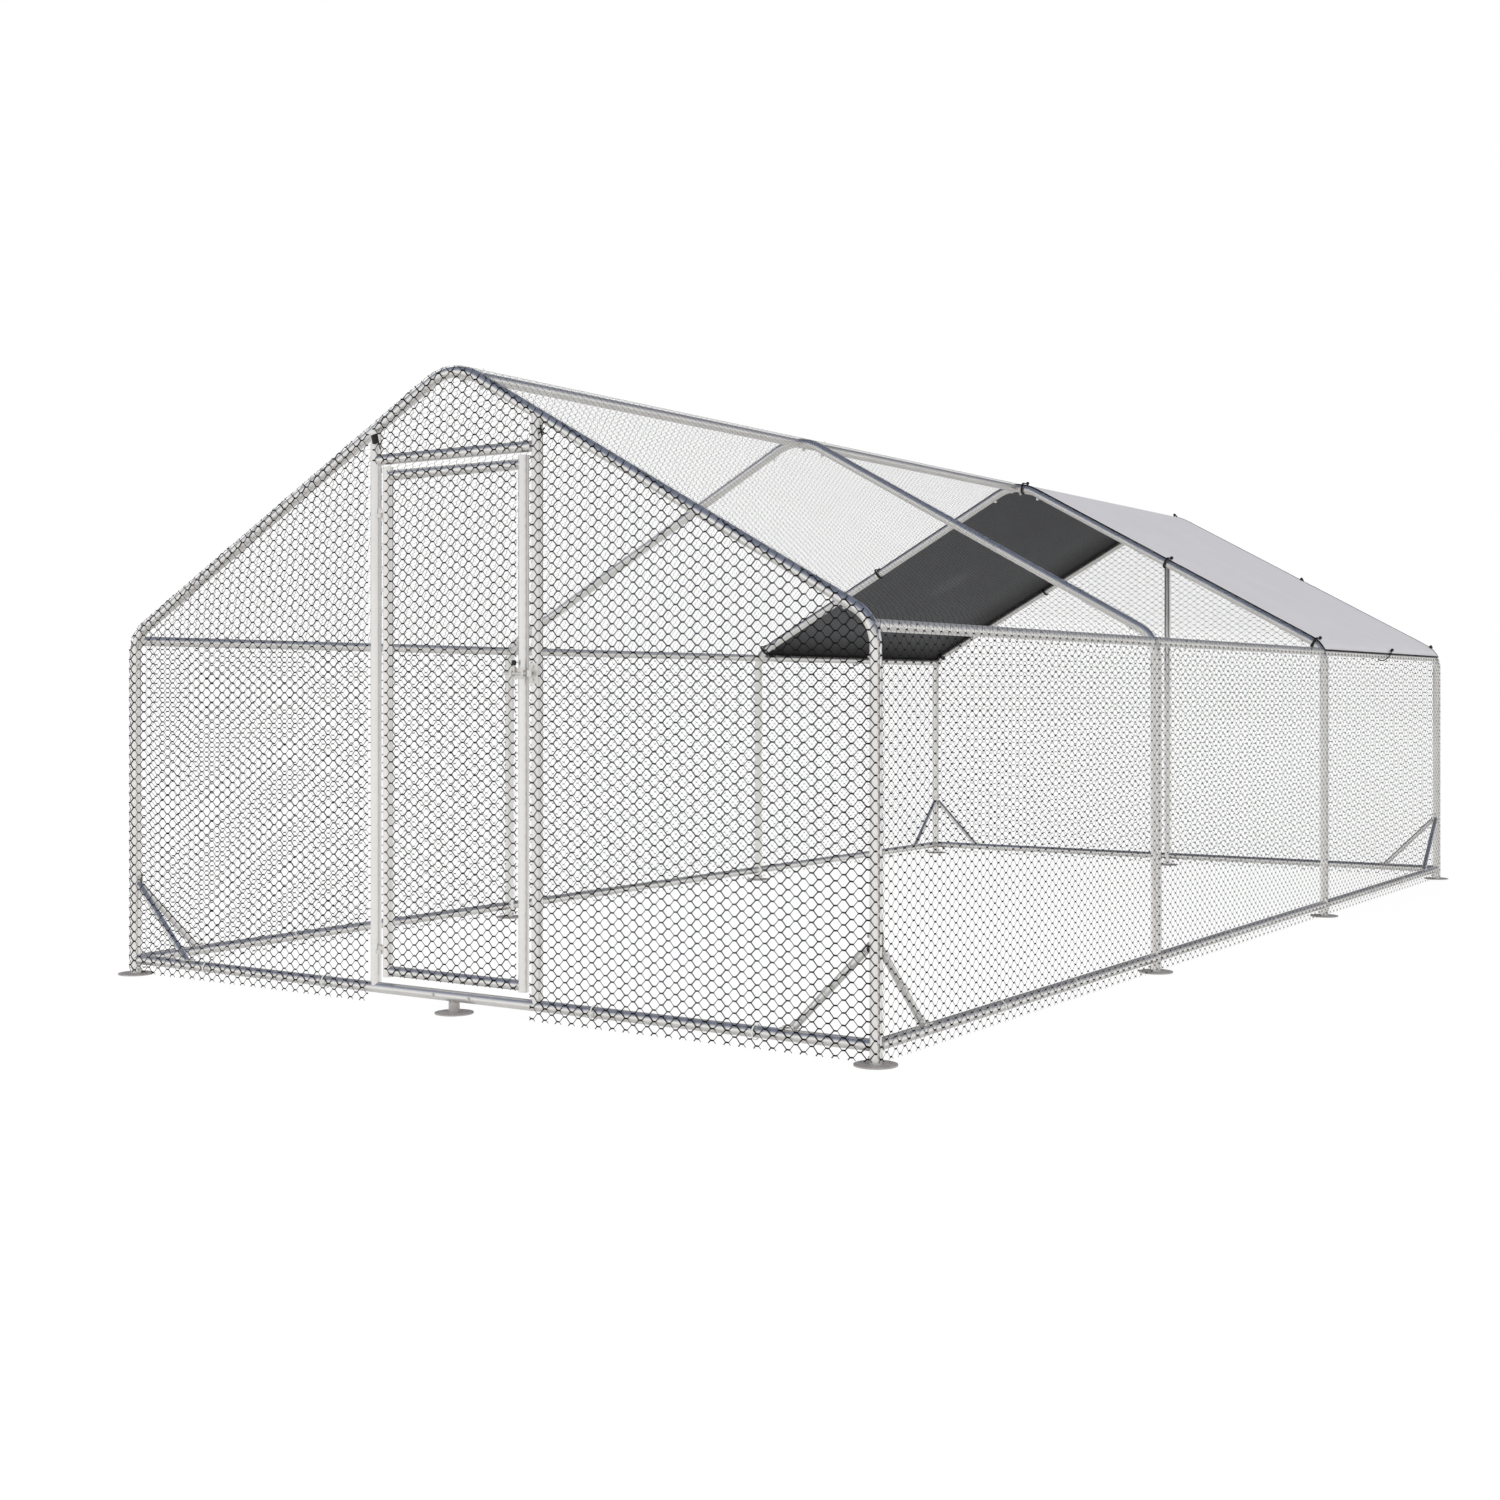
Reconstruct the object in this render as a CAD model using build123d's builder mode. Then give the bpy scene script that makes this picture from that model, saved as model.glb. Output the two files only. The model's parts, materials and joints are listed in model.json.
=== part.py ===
from build123d import *
import os
from math import atan2, cos, degrees, hypot, radians, sin, sqrt, tan

os.makedirs("parts", exist_ok=True)

# All sizes are in millimetres and degrees. X runs across the coop, Y along it from the door to the back.

# Frame
frame_names = ["front", "second", "third", "back"]
frame_width = 3000.0            # between the post axes
bay_length = 2000.0             # between one frame and the next
eave_corner_height = 1190.0     # where the post and rafter axes would cross
ridge_corner_height = 2012.0    # where the two rafter axes would cross
eave_bend_radius = 120.0        # to the tube axis
ridge_bend_radius = 200.0       # to the tube axis
eave_rail_angle = 27.0          # place of the eave rail on the eave bend, up from level
bottom_rail_height = 53.0       # axis above the ground

# Tubes and their push-fit joints
tube_diameter = 34.0
tube_wall = 1.5
spigot_clearance = 0.15         # radial, between a spigot and the tube over it
spigot_wall = 2.0
spigot_length = 60.0
end_gap = 0.1                   # left between a tube end and what it meets
door_stub_length = 35.0         # stubs that hold the ends of the door posts

# Feet
foot_diameter = 120.0
foot_thickness = 4.0
foot_hole_diameter = 10.0
foot_hole_spacing = 76.0
foot_spigot_height = 28.0
centre_foot_neck_diameter = 22.0
centre_foot_arm_length = 110.0
centre_foot_screw_offset = 73.0

# Corner braces
brace_diameter = 22.0
brace_wall = 1.2
brace_leg = 281.0               # from the post and rail crossing to where the brace axis would meet each
brace_tab_thickness = 3.0
brace_tab_width = 28.0
brace_tab_overlap = 17.0        # tab behind the foot of the brace tube
brace_tab_reach = 36.0          # tab past the foot of the brace tube, for its screw
brace_screw_offset = 26.0

# Self-tapping screws
screw_diameter = 5.0
screw_length = 14.0
screw_hole_clearance = 0.15
screw_flange_diameter = 11.0
screw_flange_thickness = 1.2
screw_head_size = 8.0           # across flats
screw_head_height = 4.0
screw_seat_gap = 0.05
screw_offset = 30.0             # from the end of the tube that it holds

# Doorway and door leaf
door_post_offset = 333.0        # door post axes from the middle of the front
header_height = 1733.0
leaf_stile_offset = 280.0       # stile axes from the middle of the front
leaf_tube_diameter = 32.0
leaf_stile_bottom = 90.0
leaf_stile_top = 1708.0
leaf_bottom_rail_height = 109.0
leaf_top_rail_height = 1681.0
leaf_spigot_length = 45.0
leaf_screw_offset = 24.0
leaf_net_inset = 14.0           # door net from the axes of the leaf tubes

# Hinges
hinge_heights = [175.0, 1561.0]
hinge_axis_offset = 306.0       # hinge axis from the middle of the front
hinge_axis_forward = 8.0        # hinge axis in front of the tube axes
hinge_barrel_diameter = 14.0
hinge_barrel_height = 13.0
hinge_arm_width = 10.0
hinge_play = 0.4                # between the two barrels
hinge_pin_diameter = 6.0
hinge_running_clearance = 0.05
hinge_head_diameter = 12.0
hinge_head_height = 3.0
weld_gap = 0.05

# Latch
latch_height = 1050.0
latch_plate_start = 250.0       # from the middle of the front
latch_plate_length = 54.0
latch_plate_height = 32.0
latch_plate_thickness = 5.0
latch_saddle_depth = 6.0        # how far the plate reaches back round the stile
latch_ear_length = 8.0
latch_ear_height = 18.0
latch_ear_depth = 11.0
latch_bolt_diameter = 8.0
latch_bolt_clearance = 0.1
latch_bolt_length = 90.0
latch_bolt_tip = 312.0          # tip from the middle of the front when drawn back
latch_stem_place = 264.0        # stem from the middle of the front when drawn back
latch_stem_diameter = 6.0
latch_stem_height = 34.0        # above the bolt axis
latch_knob_diameter = 15.0
latch_knob_height = 16.0
latch_knob_depth = 10.0         # of the stem inside the knob
latch_knob_rounding = 4.0
keeper_start = 318.0            # from the middle of the front
keeper_length = 34.0
keeper_height = 62.0
keeper_thickness = 3.0
keeper_loop_start = 322.0       # from the middle of the front
keeper_loop_length = 16.0
keeper_loop_height = 20.0
keeper_loop_wall = 4.0
keeper_bore_clearance = 0.6
keeper_screw_spacing = 40.0

# Netting, drawn with a coarse mesh
mesh_column_pitch = 182.0
mesh_row_pitch = 232.0
mesh_twist_length = 72.0
mesh_bar_width = 4.0
net_thickness = 2.0
net_gap = 0.2                   # between a net and the tubes that it lies on
net_border = 8.0
net_overlap = 15.0              # how far a net runs past a tube axis at its outer edge
net_seam = 4.0                  # between two nets that meet on a tube
net_bottom_height = 22.0
smallest_gap = 250.0            # mm2, smaller leftovers at the border stay closed

# Roof cover and ties
cover_thickness = 1.5
cover_gap = 0.5                 # above the net
cover_front_overhang = 2.0      # past the axis of the frame where the cover starts
cover_back_overhang = 17.0      # past the axis of the back frame
cover_edge_angle = 25.0         # lower edge over the eave tube, on the eave bend up from level
eyelet_diameter = 12.0
eyelet_inset = 30.0             # from the front and back edges of the cover
tie_ball_diameter = 16.0
tie_stem_diameter = 6.0
tie_seat_gap = 0.3
eave_tie_angle = 51.0           # place of the lower ties on the eave bend, up from level
edge_tie_angle = 33.0           # place of the tie in the lower edge, up from level
edge_tie_place = 1105.0         # and back from the front edge of the cover
slope_tie_place = 765.0         # place of the middle ties up the rafter
ridge_tie_angle = 78.0          # place of the top ties on the ridge bend, up from level
net_tie_bore = 42.0
net_tie_thickness = 2.0
net_tie_width = 3.0
net_tie_slack = 0.2
net_tie_front_places = [554.0, 1121.0]  # from the middle of the front
net_tie_side_place = 265.0      # from the middle of each bay, both ways

# Values worked out from the sizes above
half_width = frame_width / 2
frame_count = len(frame_names)
frame_places = [(i - (frame_count - 1) / 2) * bay_length for i in range(frame_count)]
front_place = frame_places[0]
back_place = frame_places[-1]
tube_radius = tube_diameter / 2
tube_bore = tube_radius - tube_wall
spigot_radius = tube_bore - spigot_clearance
spigot_bore = spigot_radius - spigot_wall
leaf_radius = leaf_tube_diameter / 2
leaf_bore = leaf_radius - tube_wall
leaf_spigot_radius = leaf_bore - spigot_clearance
screw_hole_radius = screw_diameter / 2 + screw_hole_clearance

slope = atan2(ridge_corner_height - eave_corner_height, half_width)
slope_degrees = degrees(slope)
eave_turn = 90 - slope_degrees
eave_tangent = eave_bend_radius * tan(radians(eave_turn / 2))
ridge_tangent = ridge_bend_radius * tan(slope)
post_top = eave_corner_height - eave_tangent
eave_centre = (half_width - eave_bend_radius, post_top)
ridge_centre = (0, ridge_corner_height - ridge_bend_radius / cos(slope))
ridge_axis_height = ridge_centre[1] + ridge_bend_radius
up_slope = (-cos(slope), 0, sin(slope))
off_slope = (sin(slope), 0, cos(slope))
rafter_low = (half_width - eave_tangent * cos(slope), eave_corner_height + eave_tangent * sin(slope))
rafter_high = (ridge_tangent * cos(slope), ridge_corner_height - ridge_tangent * sin(slope))
rafter_length = hypot(rafter_high[0] - rafter_low[0], rafter_high[1] - rafter_low[1])
eave_rail_x = eave_centre[0] + eave_bend_radius * cos(radians(eave_rail_angle))
eave_rail_height = eave_centre[1] + eave_bend_radius * sin(radians(eave_rail_angle))
net_offset = tube_radius + net_gap
brace_foot = brace_leg - tube_radius + brace_screw_offset
brace_seat = tube_radius + end_gap + brace_tab_thickness

up = (0, 0, 1)
down = (0, 0, -1)
inward = (-1, 0, 0)             # from the right-hand side to the middle
backward = (0, 1, 0)
forward = (0, -1, 0)


def rafter_height(x):
    return ridge_corner_height - x * tan(slope)


def save(part, name):
    part.label = name
    export_step(part, f"parts/{name}.step")


def add_tube(start, direction, radius, bore, length):
    with BuildSketch(Plane(start, z_dir=direction)) as section:
        Circle(radius)
        if bore:
            Circle(bore, mode=Mode.SUBTRACT)
    extrude(section.sketch, amount=length)


def cut_round(start, direction, radius, length):
    with BuildSketch(Plane(start, z_dir=direction)) as section:
        Circle(radius)
    extrude(section.sketch, amount=length, mode=Mode.SUBTRACT)


def bend(start, direction, radius, axis, turn, mode=Mode.ADD):
    with BuildSketch(Plane(start, z_dir=direction)) as section:
        Circle(radius)
    revolve(section.sketch, axis=axis, revolution_arc=turn, mode=mode)


def hollow_stub(start, direction, host_radius, bore, length):
    cut_round(Vector(start) + Vector(direction) * host_radius, direction, bore, length)


def add_stub(start, direction, host_radius, radius, bore, length):
    # A stub welded to a tube: solid through the tube and hollow outside it.
    add_tube(start, direction, radius, 0, host_radius + length)
    hollow_stub(start, direction, host_radius, bore, length)


def add_bars(start, ways, radius, length):
    # Solid bars from a point: two that leave it in opposite ways are one bar.
    through = forward in ways and backward in ways
    for way in ways:
        if through and way == backward:
            continue
        foot = Vector(start) - Vector(way) * length if through and way == forward else start
        add_tube(foot, way, radius, 0, 2 * length if through and way == forward else length)


def drill(site, reach=tube_diameter):
    start, direction = site[:2]
    cut_round(start, direction, screw_hole_radius, reach)


# Screw sites: a point on the tube axis, the way the screw head faces and the radius of its seat.
# The first list is for the right-hand side and is mirrored to the left; the second is on the middle plane.
side_screws = []
middle_screws = []
leaf_screws = []
keeper_screws = []


def screw_site(sites, start, direction, seat=tube_radius):
    site = (start, direction, seat)
    sites.append(site)
    return site


def straight_rail(start, direction, length, head):
    # A tube between two stubs, with a screw hole near each end.
    add_tube(start, direction, tube_radius, tube_bore, length)
    return [
        (Vector(start) + Vector(direction) * place, head)
        for place in (screw_offset, length - screw_offset)
    ]


def post_sites(y):
    foot_site = ((half_width, y, foot_thickness + foot_spigot_height / 2), inward)
    elbow_site = ((half_width, y, post_top - screw_offset), inward)
    return [foot_site, elbow_site]


def wall_directions(index):
    # The ways in which bottom rails leave the right-hand post of a frame.
    ways = []
    if index > 0:
        ways.append(forward)
    if index < frame_count - 1:
        ways.append(backward)
    if index in (0, frame_count - 1):
        ways.append(inward)
    return ways


def stub_screw(start, direction):
    # Where the screw of a rail that sits on this stub is, along the rail.
    return Vector(start) + Vector(direction) * (tube_radius + end_gap + screw_offset)


def rail_head(direction):
    # Rails along the sides are screwed from inside the coop, and so are those along the ends.
    return inward if direction in (forward, backward) else None


def brace_ways(index):
    # Braces stand at the corner posts: one along the end, one along the side.
    along = backward if index == 0 else forward
    return [inward, along]


def end_head(index):
    return backward if index == 0 else forward


# Posts with stubs for the bottom rails
for index, (name, y) in enumerate(zip(frame_names, frame_places)):
    crossing = (half_width, y, bottom_rail_height)
    with BuildPart() as posts:
        add_tube((half_width, y, foot_thickness + end_gap), up, tube_radius, tube_bore,
                 post_top - foot_thickness - 2 * end_gap)
        for way in wall_directions(index):
            add_stub(crossing, way, tube_radius, spigot_radius, spigot_bore, spigot_length)
            head = rail_head(way) or end_head(index)
            drill((stub_screw(crossing, way), head))
        for start, head in post_sites(y):
            drill(screw_site(side_screws, start, head))
        if index in (0, frame_count - 1):
            for way in brace_ways(index):
                start = (half_width, y, bottom_rail_height + brace_foot)
                drill(screw_site(side_screws, start, way, brace_seat))
        mirror(about=Plane.YZ)
    save(posts.part, f"{name}_posts")

# Eave elbows with spigots for the post and the rafter and stubs for the eave rails
for index, (name, y) in enumerate(zip(frame_names, frame_places)):
    post_start = (half_width, y, post_top)
    rafter_start = (rafter_low[0], y, rafter_low[1])
    rail_start = (eave_rail_x, y, eave_rail_height)
    stub_ways = [way for way in wall_directions(index) if way != inward]
    bend_axis = Axis((eave_centre[0], y, eave_centre[1]), forward)
    with BuildPart() as elbows:
        bend(post_start, up, tube_radius, bend_axis, eave_turn)
        add_bars(rail_start, stub_ways, spigot_radius, tube_radius + spigot_length)
        bend(post_start, up, spigot_bore, bend_axis, eave_turn, Mode.SUBTRACT)
        for way in stub_ways:
            hollow_stub(rail_start, way, tube_radius, spigot_bore, spigot_length)
            drill((stub_screw(rail_start, way), inward))
        add_tube(post_start, down, spigot_radius, spigot_bore, spigot_length)
        drill(((half_width, y, post_top - screw_offset), inward))
        add_tube(rafter_start, up_slope, spigot_radius, spigot_bore, spigot_length)
        rafter_site = Vector(rafter_start) + Vector(up_slope) * screw_offset
        drill(screw_site(side_screws, rafter_site, Vector(off_slope) * -1))
        mirror(about=Plane.YZ)
    save(elbows.part, f"{name}_eave_elbows")

# Rafters, those of the front frame with stubs for the door posts
for index, (name, y) in enumerate(zip(frame_names, frame_places)):
    low = Vector(rafter_low[0], y, rafter_low[1])
    with BuildPart() as rafters:
        start = low + Vector(up_slope) * end_gap
        add_tube(start, up_slope, tube_radius, tube_bore, rafter_length - 2 * end_gap)
        for place in (screw_offset, rafter_length - screw_offset):
            drill((low + Vector(up_slope) * place, Vector(off_slope) * -1))
        if index == 0:
            stub_start = (door_post_offset, y, rafter_height(door_post_offset))
            host_radius = tube_radius / cos(slope)
            add_stub(stub_start, down, host_radius, spigot_radius, spigot_bore, door_stub_length)
        mirror(about=Plane.YZ)
    save(rafters.part, f"{name}_rafters")

# Ridge elbows with spigots for both rafters and stubs for the ridge rails
centre_post_site = ((0, back_place, ridge_axis_height - tube_radius - end_gap - screw_offset), forward)
for index, (name, y) in enumerate(zip(frame_names, frame_places)):
    apex = (0, y, ridge_axis_height)
    high = Vector(rafter_high[0], y, rafter_high[1])
    last = index == frame_count - 1
    stub_ways = [way for way in wall_directions(index) if way != inward] + ([down] if last else [])
    bend_axis = Axis((0, y, ridge_centre[1]), forward)
    with BuildPart() as ridge_elbow:
        bend(high, up_slope, tube_radius, bend_axis, 2 * slope_degrees)
        add_bars(apex, stub_ways, spigot_radius, tube_radius + spigot_length)
        bend(high, up_slope, spigot_bore, bend_axis, 2 * slope_degrees, Mode.SUBTRACT)
        for way in stub_ways:
            hollow_stub(apex, way, tube_radius, spigot_bore, spigot_length)
            drill((stub_screw(apex, way), forward if way == down else down))
        for side in (1, -1):
            start = Vector(side * high.X, y, high.Z)
            way = Vector(-side * up_slope[0], 0, -up_slope[2])
            add_tube(start, way, spigot_radius, spigot_bore, spigot_length)
            drill((start + way * screw_offset, Vector(-side * off_slope[0], 0, -off_slope[2])))
        screw_site(side_screws, high - Vector(up_slope) * screw_offset, Vector(off_slope) * -1)
    save(ridge_elbow.part, f"{name}_ridge_elbow")

# Ridge, eave and bottom rails between the frames
rail_run = bay_length - 2 * (tube_radius + end_gap)
with BuildPart() as ridge_rails:
    for y in frame_places[:-1]:
        start = (0, y + tube_radius + end_gap, ridge_axis_height)
        for place, head in straight_rail(start, backward, rail_run, down):
            drill(screw_site(middle_screws, place, head))
save(ridge_rails.part, "ridge_rails")

with BuildPart() as right_eave_rails:
    for y in frame_places[:-1]:
        start = (eave_rail_x, y + tube_radius + end_gap, eave_rail_height)
        for place, head in straight_rail(start, backward, rail_run, inward):
            drill(screw_site(side_screws, place, head))
save(right_eave_rails.part, "right_eave_rails")
with BuildPart() as left_eave_rails:
    mirror(right_eave_rails.part, about=Plane.YZ)
save(left_eave_rails.part, "left_eave_rails")

with BuildPart() as right_bottom_rails:
    for y in frame_places[:-1]:
        start = (half_width, y + tube_radius + end_gap, bottom_rail_height)
        for place, head in straight_rail(start, backward, rail_run, inward):
            drill(screw_site(side_screws, place, head))
    for y in (front_place + brace_foot, back_place - brace_foot):
        drill(screw_site(side_screws, (half_width, y, bottom_rail_height), up, brace_seat))
save(right_bottom_rails.part, "right_bottom_rails")
with BuildPart() as left_bottom_rails:
    mirror(right_bottom_rails.part, about=Plane.YZ)
save(left_bottom_rails.part, "left_bottom_rails")

# Front bottom rails meet over the centre foot and carry stubs for the door posts
sill_site = ((centre_foot_screw_offset, front_place, bottom_rail_height), forward)
corner_end = half_width - tube_radius - end_gap
with BuildPart() as front_bottom_rails:
    add_tube((end_gap / 2, front_place, bottom_rail_height), (1, 0, 0), tube_radius, tube_bore,
             corner_end - end_gap / 2)
    stub_start = (door_post_offset, front_place, bottom_rail_height)
    add_stub(stub_start, up, tube_radius, spigot_radius, spigot_bore, door_stub_length)
    drill(screw_site(side_screws, *sill_site))
    corner_site = (corner_end - screw_offset, front_place, bottom_rail_height)
    drill(screw_site(side_screws, corner_site, backward))
    brace_site = (half_width - brace_foot, front_place, bottom_rail_height)
    drill(screw_site(side_screws, brace_site, up, brace_seat))
    neck_hole_radius = centre_foot_neck_diameter / 2 + spigot_clearance
    cut_round((0, front_place, 0), up, neck_hole_radius, bottom_rail_height)
    mirror(about=Plane.YZ)
save(front_bottom_rails.part, "front_bottom_rails")

with BuildPart() as back_bottom_rails:
    start = (tube_radius + end_gap, back_place, bottom_rail_height)
    for place, head in straight_rail(start, (1, 0, 0), corner_end - tube_radius - end_gap, forward):
        drill(screw_site(side_screws, place, head))
    brace_site = (half_width - brace_foot, back_place, bottom_rail_height)
    drill(screw_site(side_screws, brace_site, up, brace_seat))
    mirror(about=Plane.YZ)
save(back_bottom_rails.part, "back_bottom_rails")

# Back centre post
with BuildPart() as back_centre_post:
    inner_bend = ridge_bend_radius - tube_radius
    post_end = ridge_centre[1] + sqrt(inner_bend ** 2 - tube_radius ** 2) - end_gap
    post_foot = foot_thickness + end_gap
    add_tube((0, back_place, post_foot), up, tube_radius, tube_bore, post_end - post_foot)
    crossing = (0, back_place, bottom_rail_height)
    for way in (inward, (1, 0, 0)):
        add_stub(crossing, way, tube_radius, spigot_radius, spigot_bore, spigot_length)
        drill((stub_screw(crossing, way), forward))
    drill(screw_site(middle_screws, *centre_post_site))
    foot_site = ((0, back_place, foot_thickness + foot_spigot_height / 2), forward)
    drill(screw_site(middle_screws, *foot_site))
save(back_centre_post.part, "back_centre_post")


def foot_plate(x, y):
    with BuildSketch(Plane((x, y, 0))) as plate:
        Circle(foot_diameter / 2)
        with GridLocations(foot_hole_spacing, 0, 2, 1):
            Circle(foot_hole_diameter / 2, mode=Mode.SUBTRACT)
    extrude(plate.sketch, amount=foot_thickness)


def spigot_foot(x, y, head):
    # A round plate with a spigot that goes up into the post.
    foot_plate(x, y)
    add_tube((x, y, foot_thickness), up, spigot_radius, spigot_bore, foot_spigot_height)
    drill(((x, y, foot_thickness + foot_spigot_height / 2), head))


with BuildPart() as right_feet:
    for y in frame_places:
        spigot_foot(half_width, y, inward)
save(right_feet.part, "right_feet")
with BuildPart() as left_feet:
    mirror(right_feet.part, about=Plane.YZ)
save(left_feet.part, "left_feet")

# The front centre foot has arms inside both front rails, the back one stands in the centre post
with BuildPart() as centre_feet:
    foot_plate(0, front_place)
    stand_top = bottom_rail_height - tube_radius - end_gap
    add_tube((0, front_place, foot_thickness), up, tube_radius, tube_bore, stand_top - foot_thickness)
    neck_foot = (0, front_place, stand_top - tube_wall)
    neck_height = bottom_rail_height - neck_foot[2]
    add_tube(neck_foot, up, tube_radius, 0, tube_wall)
    add_tube(neck_foot, up, centre_foot_neck_diameter / 2, 0, neck_height)
    arm_start = (-centre_foot_arm_length, front_place, bottom_rail_height)
    add_tube(arm_start, (1, 0, 0), spigot_radius, spigot_bore, 2 * centre_foot_arm_length)
    for side in (1, -1):
        drill(((side * centre_foot_screw_offset, front_place, bottom_rail_height), forward))
    spigot_foot(0, back_place, forward)
save(centre_feet.part, "centre_feet")


def brace(crossing, way):
    # A diagonal tube with a flat tab on the post and another on the rail.
    wall = Plane(crossing, x_dir=way, z_dir=Vector(way).cross(Vector(up)))
    near = tube_radius + end_gap
    top = wall.from_local_coords((0, brace_leg, 0))
    line = wall.from_local_coords((brace_leg, 0, 0)) - top
    add_tube(top, line.normalized(), brace_diameter / 2, brace_diameter / 2 - brace_wall, line.length)
    for turn in (False, True):
        across = brace_leg + brace_diameter
        with BuildSketch(wall) as waste:
            with Locations((near / 2, brace_leg / 2) if turn else (brace_leg / 2, near / 2)):
                Rectangle(*((near, 2 * across) if turn else (2 * across, near)))
            with Locations((-across / 2, brace_leg / 2) if turn else (brace_leg / 2, -across / 2)):
                Rectangle(*((across, 2 * across) if turn else (2 * across, across)))
        extrude(waste.sketch, amount=brace_diameter, both=True, mode=Mode.SUBTRACT)
    tab_length = brace_tab_overlap + brace_tab_reach
    tab_middle = brace_leg - near + (brace_tab_reach - brace_tab_overlap) / 2
    with BuildSketch(wall) as tabs:
        with Locations((near + brace_tab_thickness / 2, tab_middle)):
            Rectangle(brace_tab_thickness, tab_length)
        with Locations((tab_middle, near + brace_tab_thickness / 2)):
            Rectangle(tab_length, brace_tab_thickness)
    extrude(tabs.sketch, amount=brace_tab_width / 2, both=True)
    drill((wall.from_local_coords((0, brace_foot, 0)), way))
    drill((wall.from_local_coords((brace_foot, 0, 0)), up))


for index, name in ((0, "front"), (frame_count - 1, "back")):
    with BuildPart() as right_braces:
        for way in brace_ways(index):
            brace((half_width, frame_places[index], bottom_rail_height), way)
    save(right_braces.part, f"{name}_right_braces")
    with BuildPart() as left_braces:
        mirror(right_braces.part, about=Plane.YZ)
    save(left_braces.part, f"{name}_left_braces")

# Door posts stand on the front bottom rails and reach up to the front rafters
header_site = (door_post_offset - tube_radius - end_gap - screw_offset, front_place, header_height)
with BuildPart() as right_door_post:
    post_foot = (door_post_offset, front_place, bottom_rail_height + tube_radius + end_gap)
    post_head = (door_post_offset, front_place, rafter_height(door_post_offset))
    add_tube(post_foot, up, tube_radius, tube_bore, post_head[2] - post_foot[2])
    cope_start = Vector(post_head) - Vector(up_slope) * tube_diameter * 2
    cut_round(cope_start, up_slope, tube_radius + end_gap, tube_diameter * 4)
    header_end = (door_post_offset, front_place, header_height)
    add_stub(header_end, inward, tube_radius, spigot_radius, spigot_bore, spigot_length)
    drill((header_site, backward))
with BuildPart() as left_door_post:
    mirror(right_door_post.part, about=Plane.YZ)
save(left_door_post.part, "left_door_post")

with BuildPart() as door_header:
    header_half = door_post_offset - tube_radius - end_gap
    add_tube((0, front_place, header_height), (1, 0, 0), tube_radius, tube_bore, header_half)
    drill(screw_site(side_screws, header_site, backward))
    mirror(about=Plane.YZ)
save(door_header.part, "door_header")

# Door leaf: two stiles with stubs and two rails pushed over them
leaf_rail_heights = [leaf_bottom_rail_height, leaf_top_rail_height]
leaf_rail_half = leaf_stile_offset - leaf_radius - end_gap
leaf_spigot_bore = leaf_spigot_radius - spigot_wall
with BuildPart() as door_latch_stile:
    stile_foot = (leaf_stile_offset, front_place, leaf_stile_bottom)
    add_tube(stile_foot, up, leaf_radius, leaf_bore, leaf_stile_top - leaf_stile_bottom)
    for height in leaf_rail_heights:
        start = (leaf_stile_offset, front_place, height)
        add_stub(start, inward, leaf_radius, leaf_spigot_radius, leaf_spigot_bore, leaf_spigot_length)
        drill(((leaf_rail_half - leaf_screw_offset, front_place, height), backward))
save(door_latch_stile.part, "door_latch_stile")
with BuildPart() as door_hinge_stile:
    mirror(door_latch_stile.part, about=Plane.YZ)
save(door_hinge_stile.part, "door_hinge_stile")

for name, height in zip(("door_bottom_rail", "door_top_rail"), leaf_rail_heights):
    with BuildPart() as leaf_rail:
        add_tube((0, front_place, height), (1, 0, 0), leaf_radius, leaf_bore, leaf_rail_half)
        start = (leaf_rail_half - leaf_screw_offset, front_place, height)
        drill(screw_site(leaf_screws, start, backward, leaf_radius))
        mirror(about=Plane.YZ)
    save(leaf_rail.part, name)

# Hinges: a lug on the door post, an eye on the leaf above it and a headed pin through both
hinge_x = -hinge_axis_offset
hinge_y = front_place - hinge_axis_forward
hinge_pin_radius = hinge_pin_diameter / 2


def knuckle(foot, reach, tube_axis, tube_size):
    # A barrel round the hinge axis with an arm that is fitted to a tube.
    with BuildSketch(Plane((hinge_x, hinge_y, foot))) as shape:
        Circle(hinge_barrel_diameter / 2)
        with Locations((reach / 2, 0)):
            Rectangle(abs(reach), hinge_arm_width)
    extrude(shape.sketch, amount=hinge_barrel_height)
    cut_round((tube_axis, front_place, foot), up, tube_size + weld_gap, hinge_barrel_height)
    cut_round((hinge_x, hinge_y, foot), up, hinge_pin_radius + hinge_running_clearance, hinge_barrel_height)


with BuildPart() as hinge_lugs:
    for height in hinge_heights:
        foot = height - hinge_play / 2 - hinge_barrel_height
        knuckle(foot, hinge_axis_offset - door_post_offset, -door_post_offset, tube_radius)
save(hinge_lugs.part, "hinge_lugs")
with BuildPart() as hinge_eyes:
    for height in hinge_heights:
        foot = height + hinge_play / 2
        knuckle(foot, hinge_axis_offset - leaf_stile_offset, -leaf_stile_offset, leaf_radius)
save(hinge_eyes.part, "hinge_eyes")
with BuildPart() as hinge_pins:
    for height in hinge_heights:
        half = hinge_barrel_height + 1.5 * hinge_play
        add_tube((hinge_x, hinge_y, height - half), up, hinge_pin_radius, 0, 2 * half)
        add_tube((hinge_x, hinge_y, height + half), up, hinge_head_diameter / 2, 0, hinge_head_height)
save(hinge_pins.part, "hinge_pins")

# Latch: a body on the latch stile, a bolt that slides in it and a keeper on the right door post
bolt_radius = latch_bolt_diameter / 2
plate_face = front_place - leaf_radius - latch_plate_thickness
bolt_axis_y = plate_face - latch_ear_depth / 2


def block(x_start, x_length, y_start, y_end, height, mode=Mode.ADD):
    middle = (x_start + x_length / 2, (y_start + y_end) / 2, latch_height)
    with Locations(middle):
        Box(x_length, abs(y_end - y_start), height, mode=mode)


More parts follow.
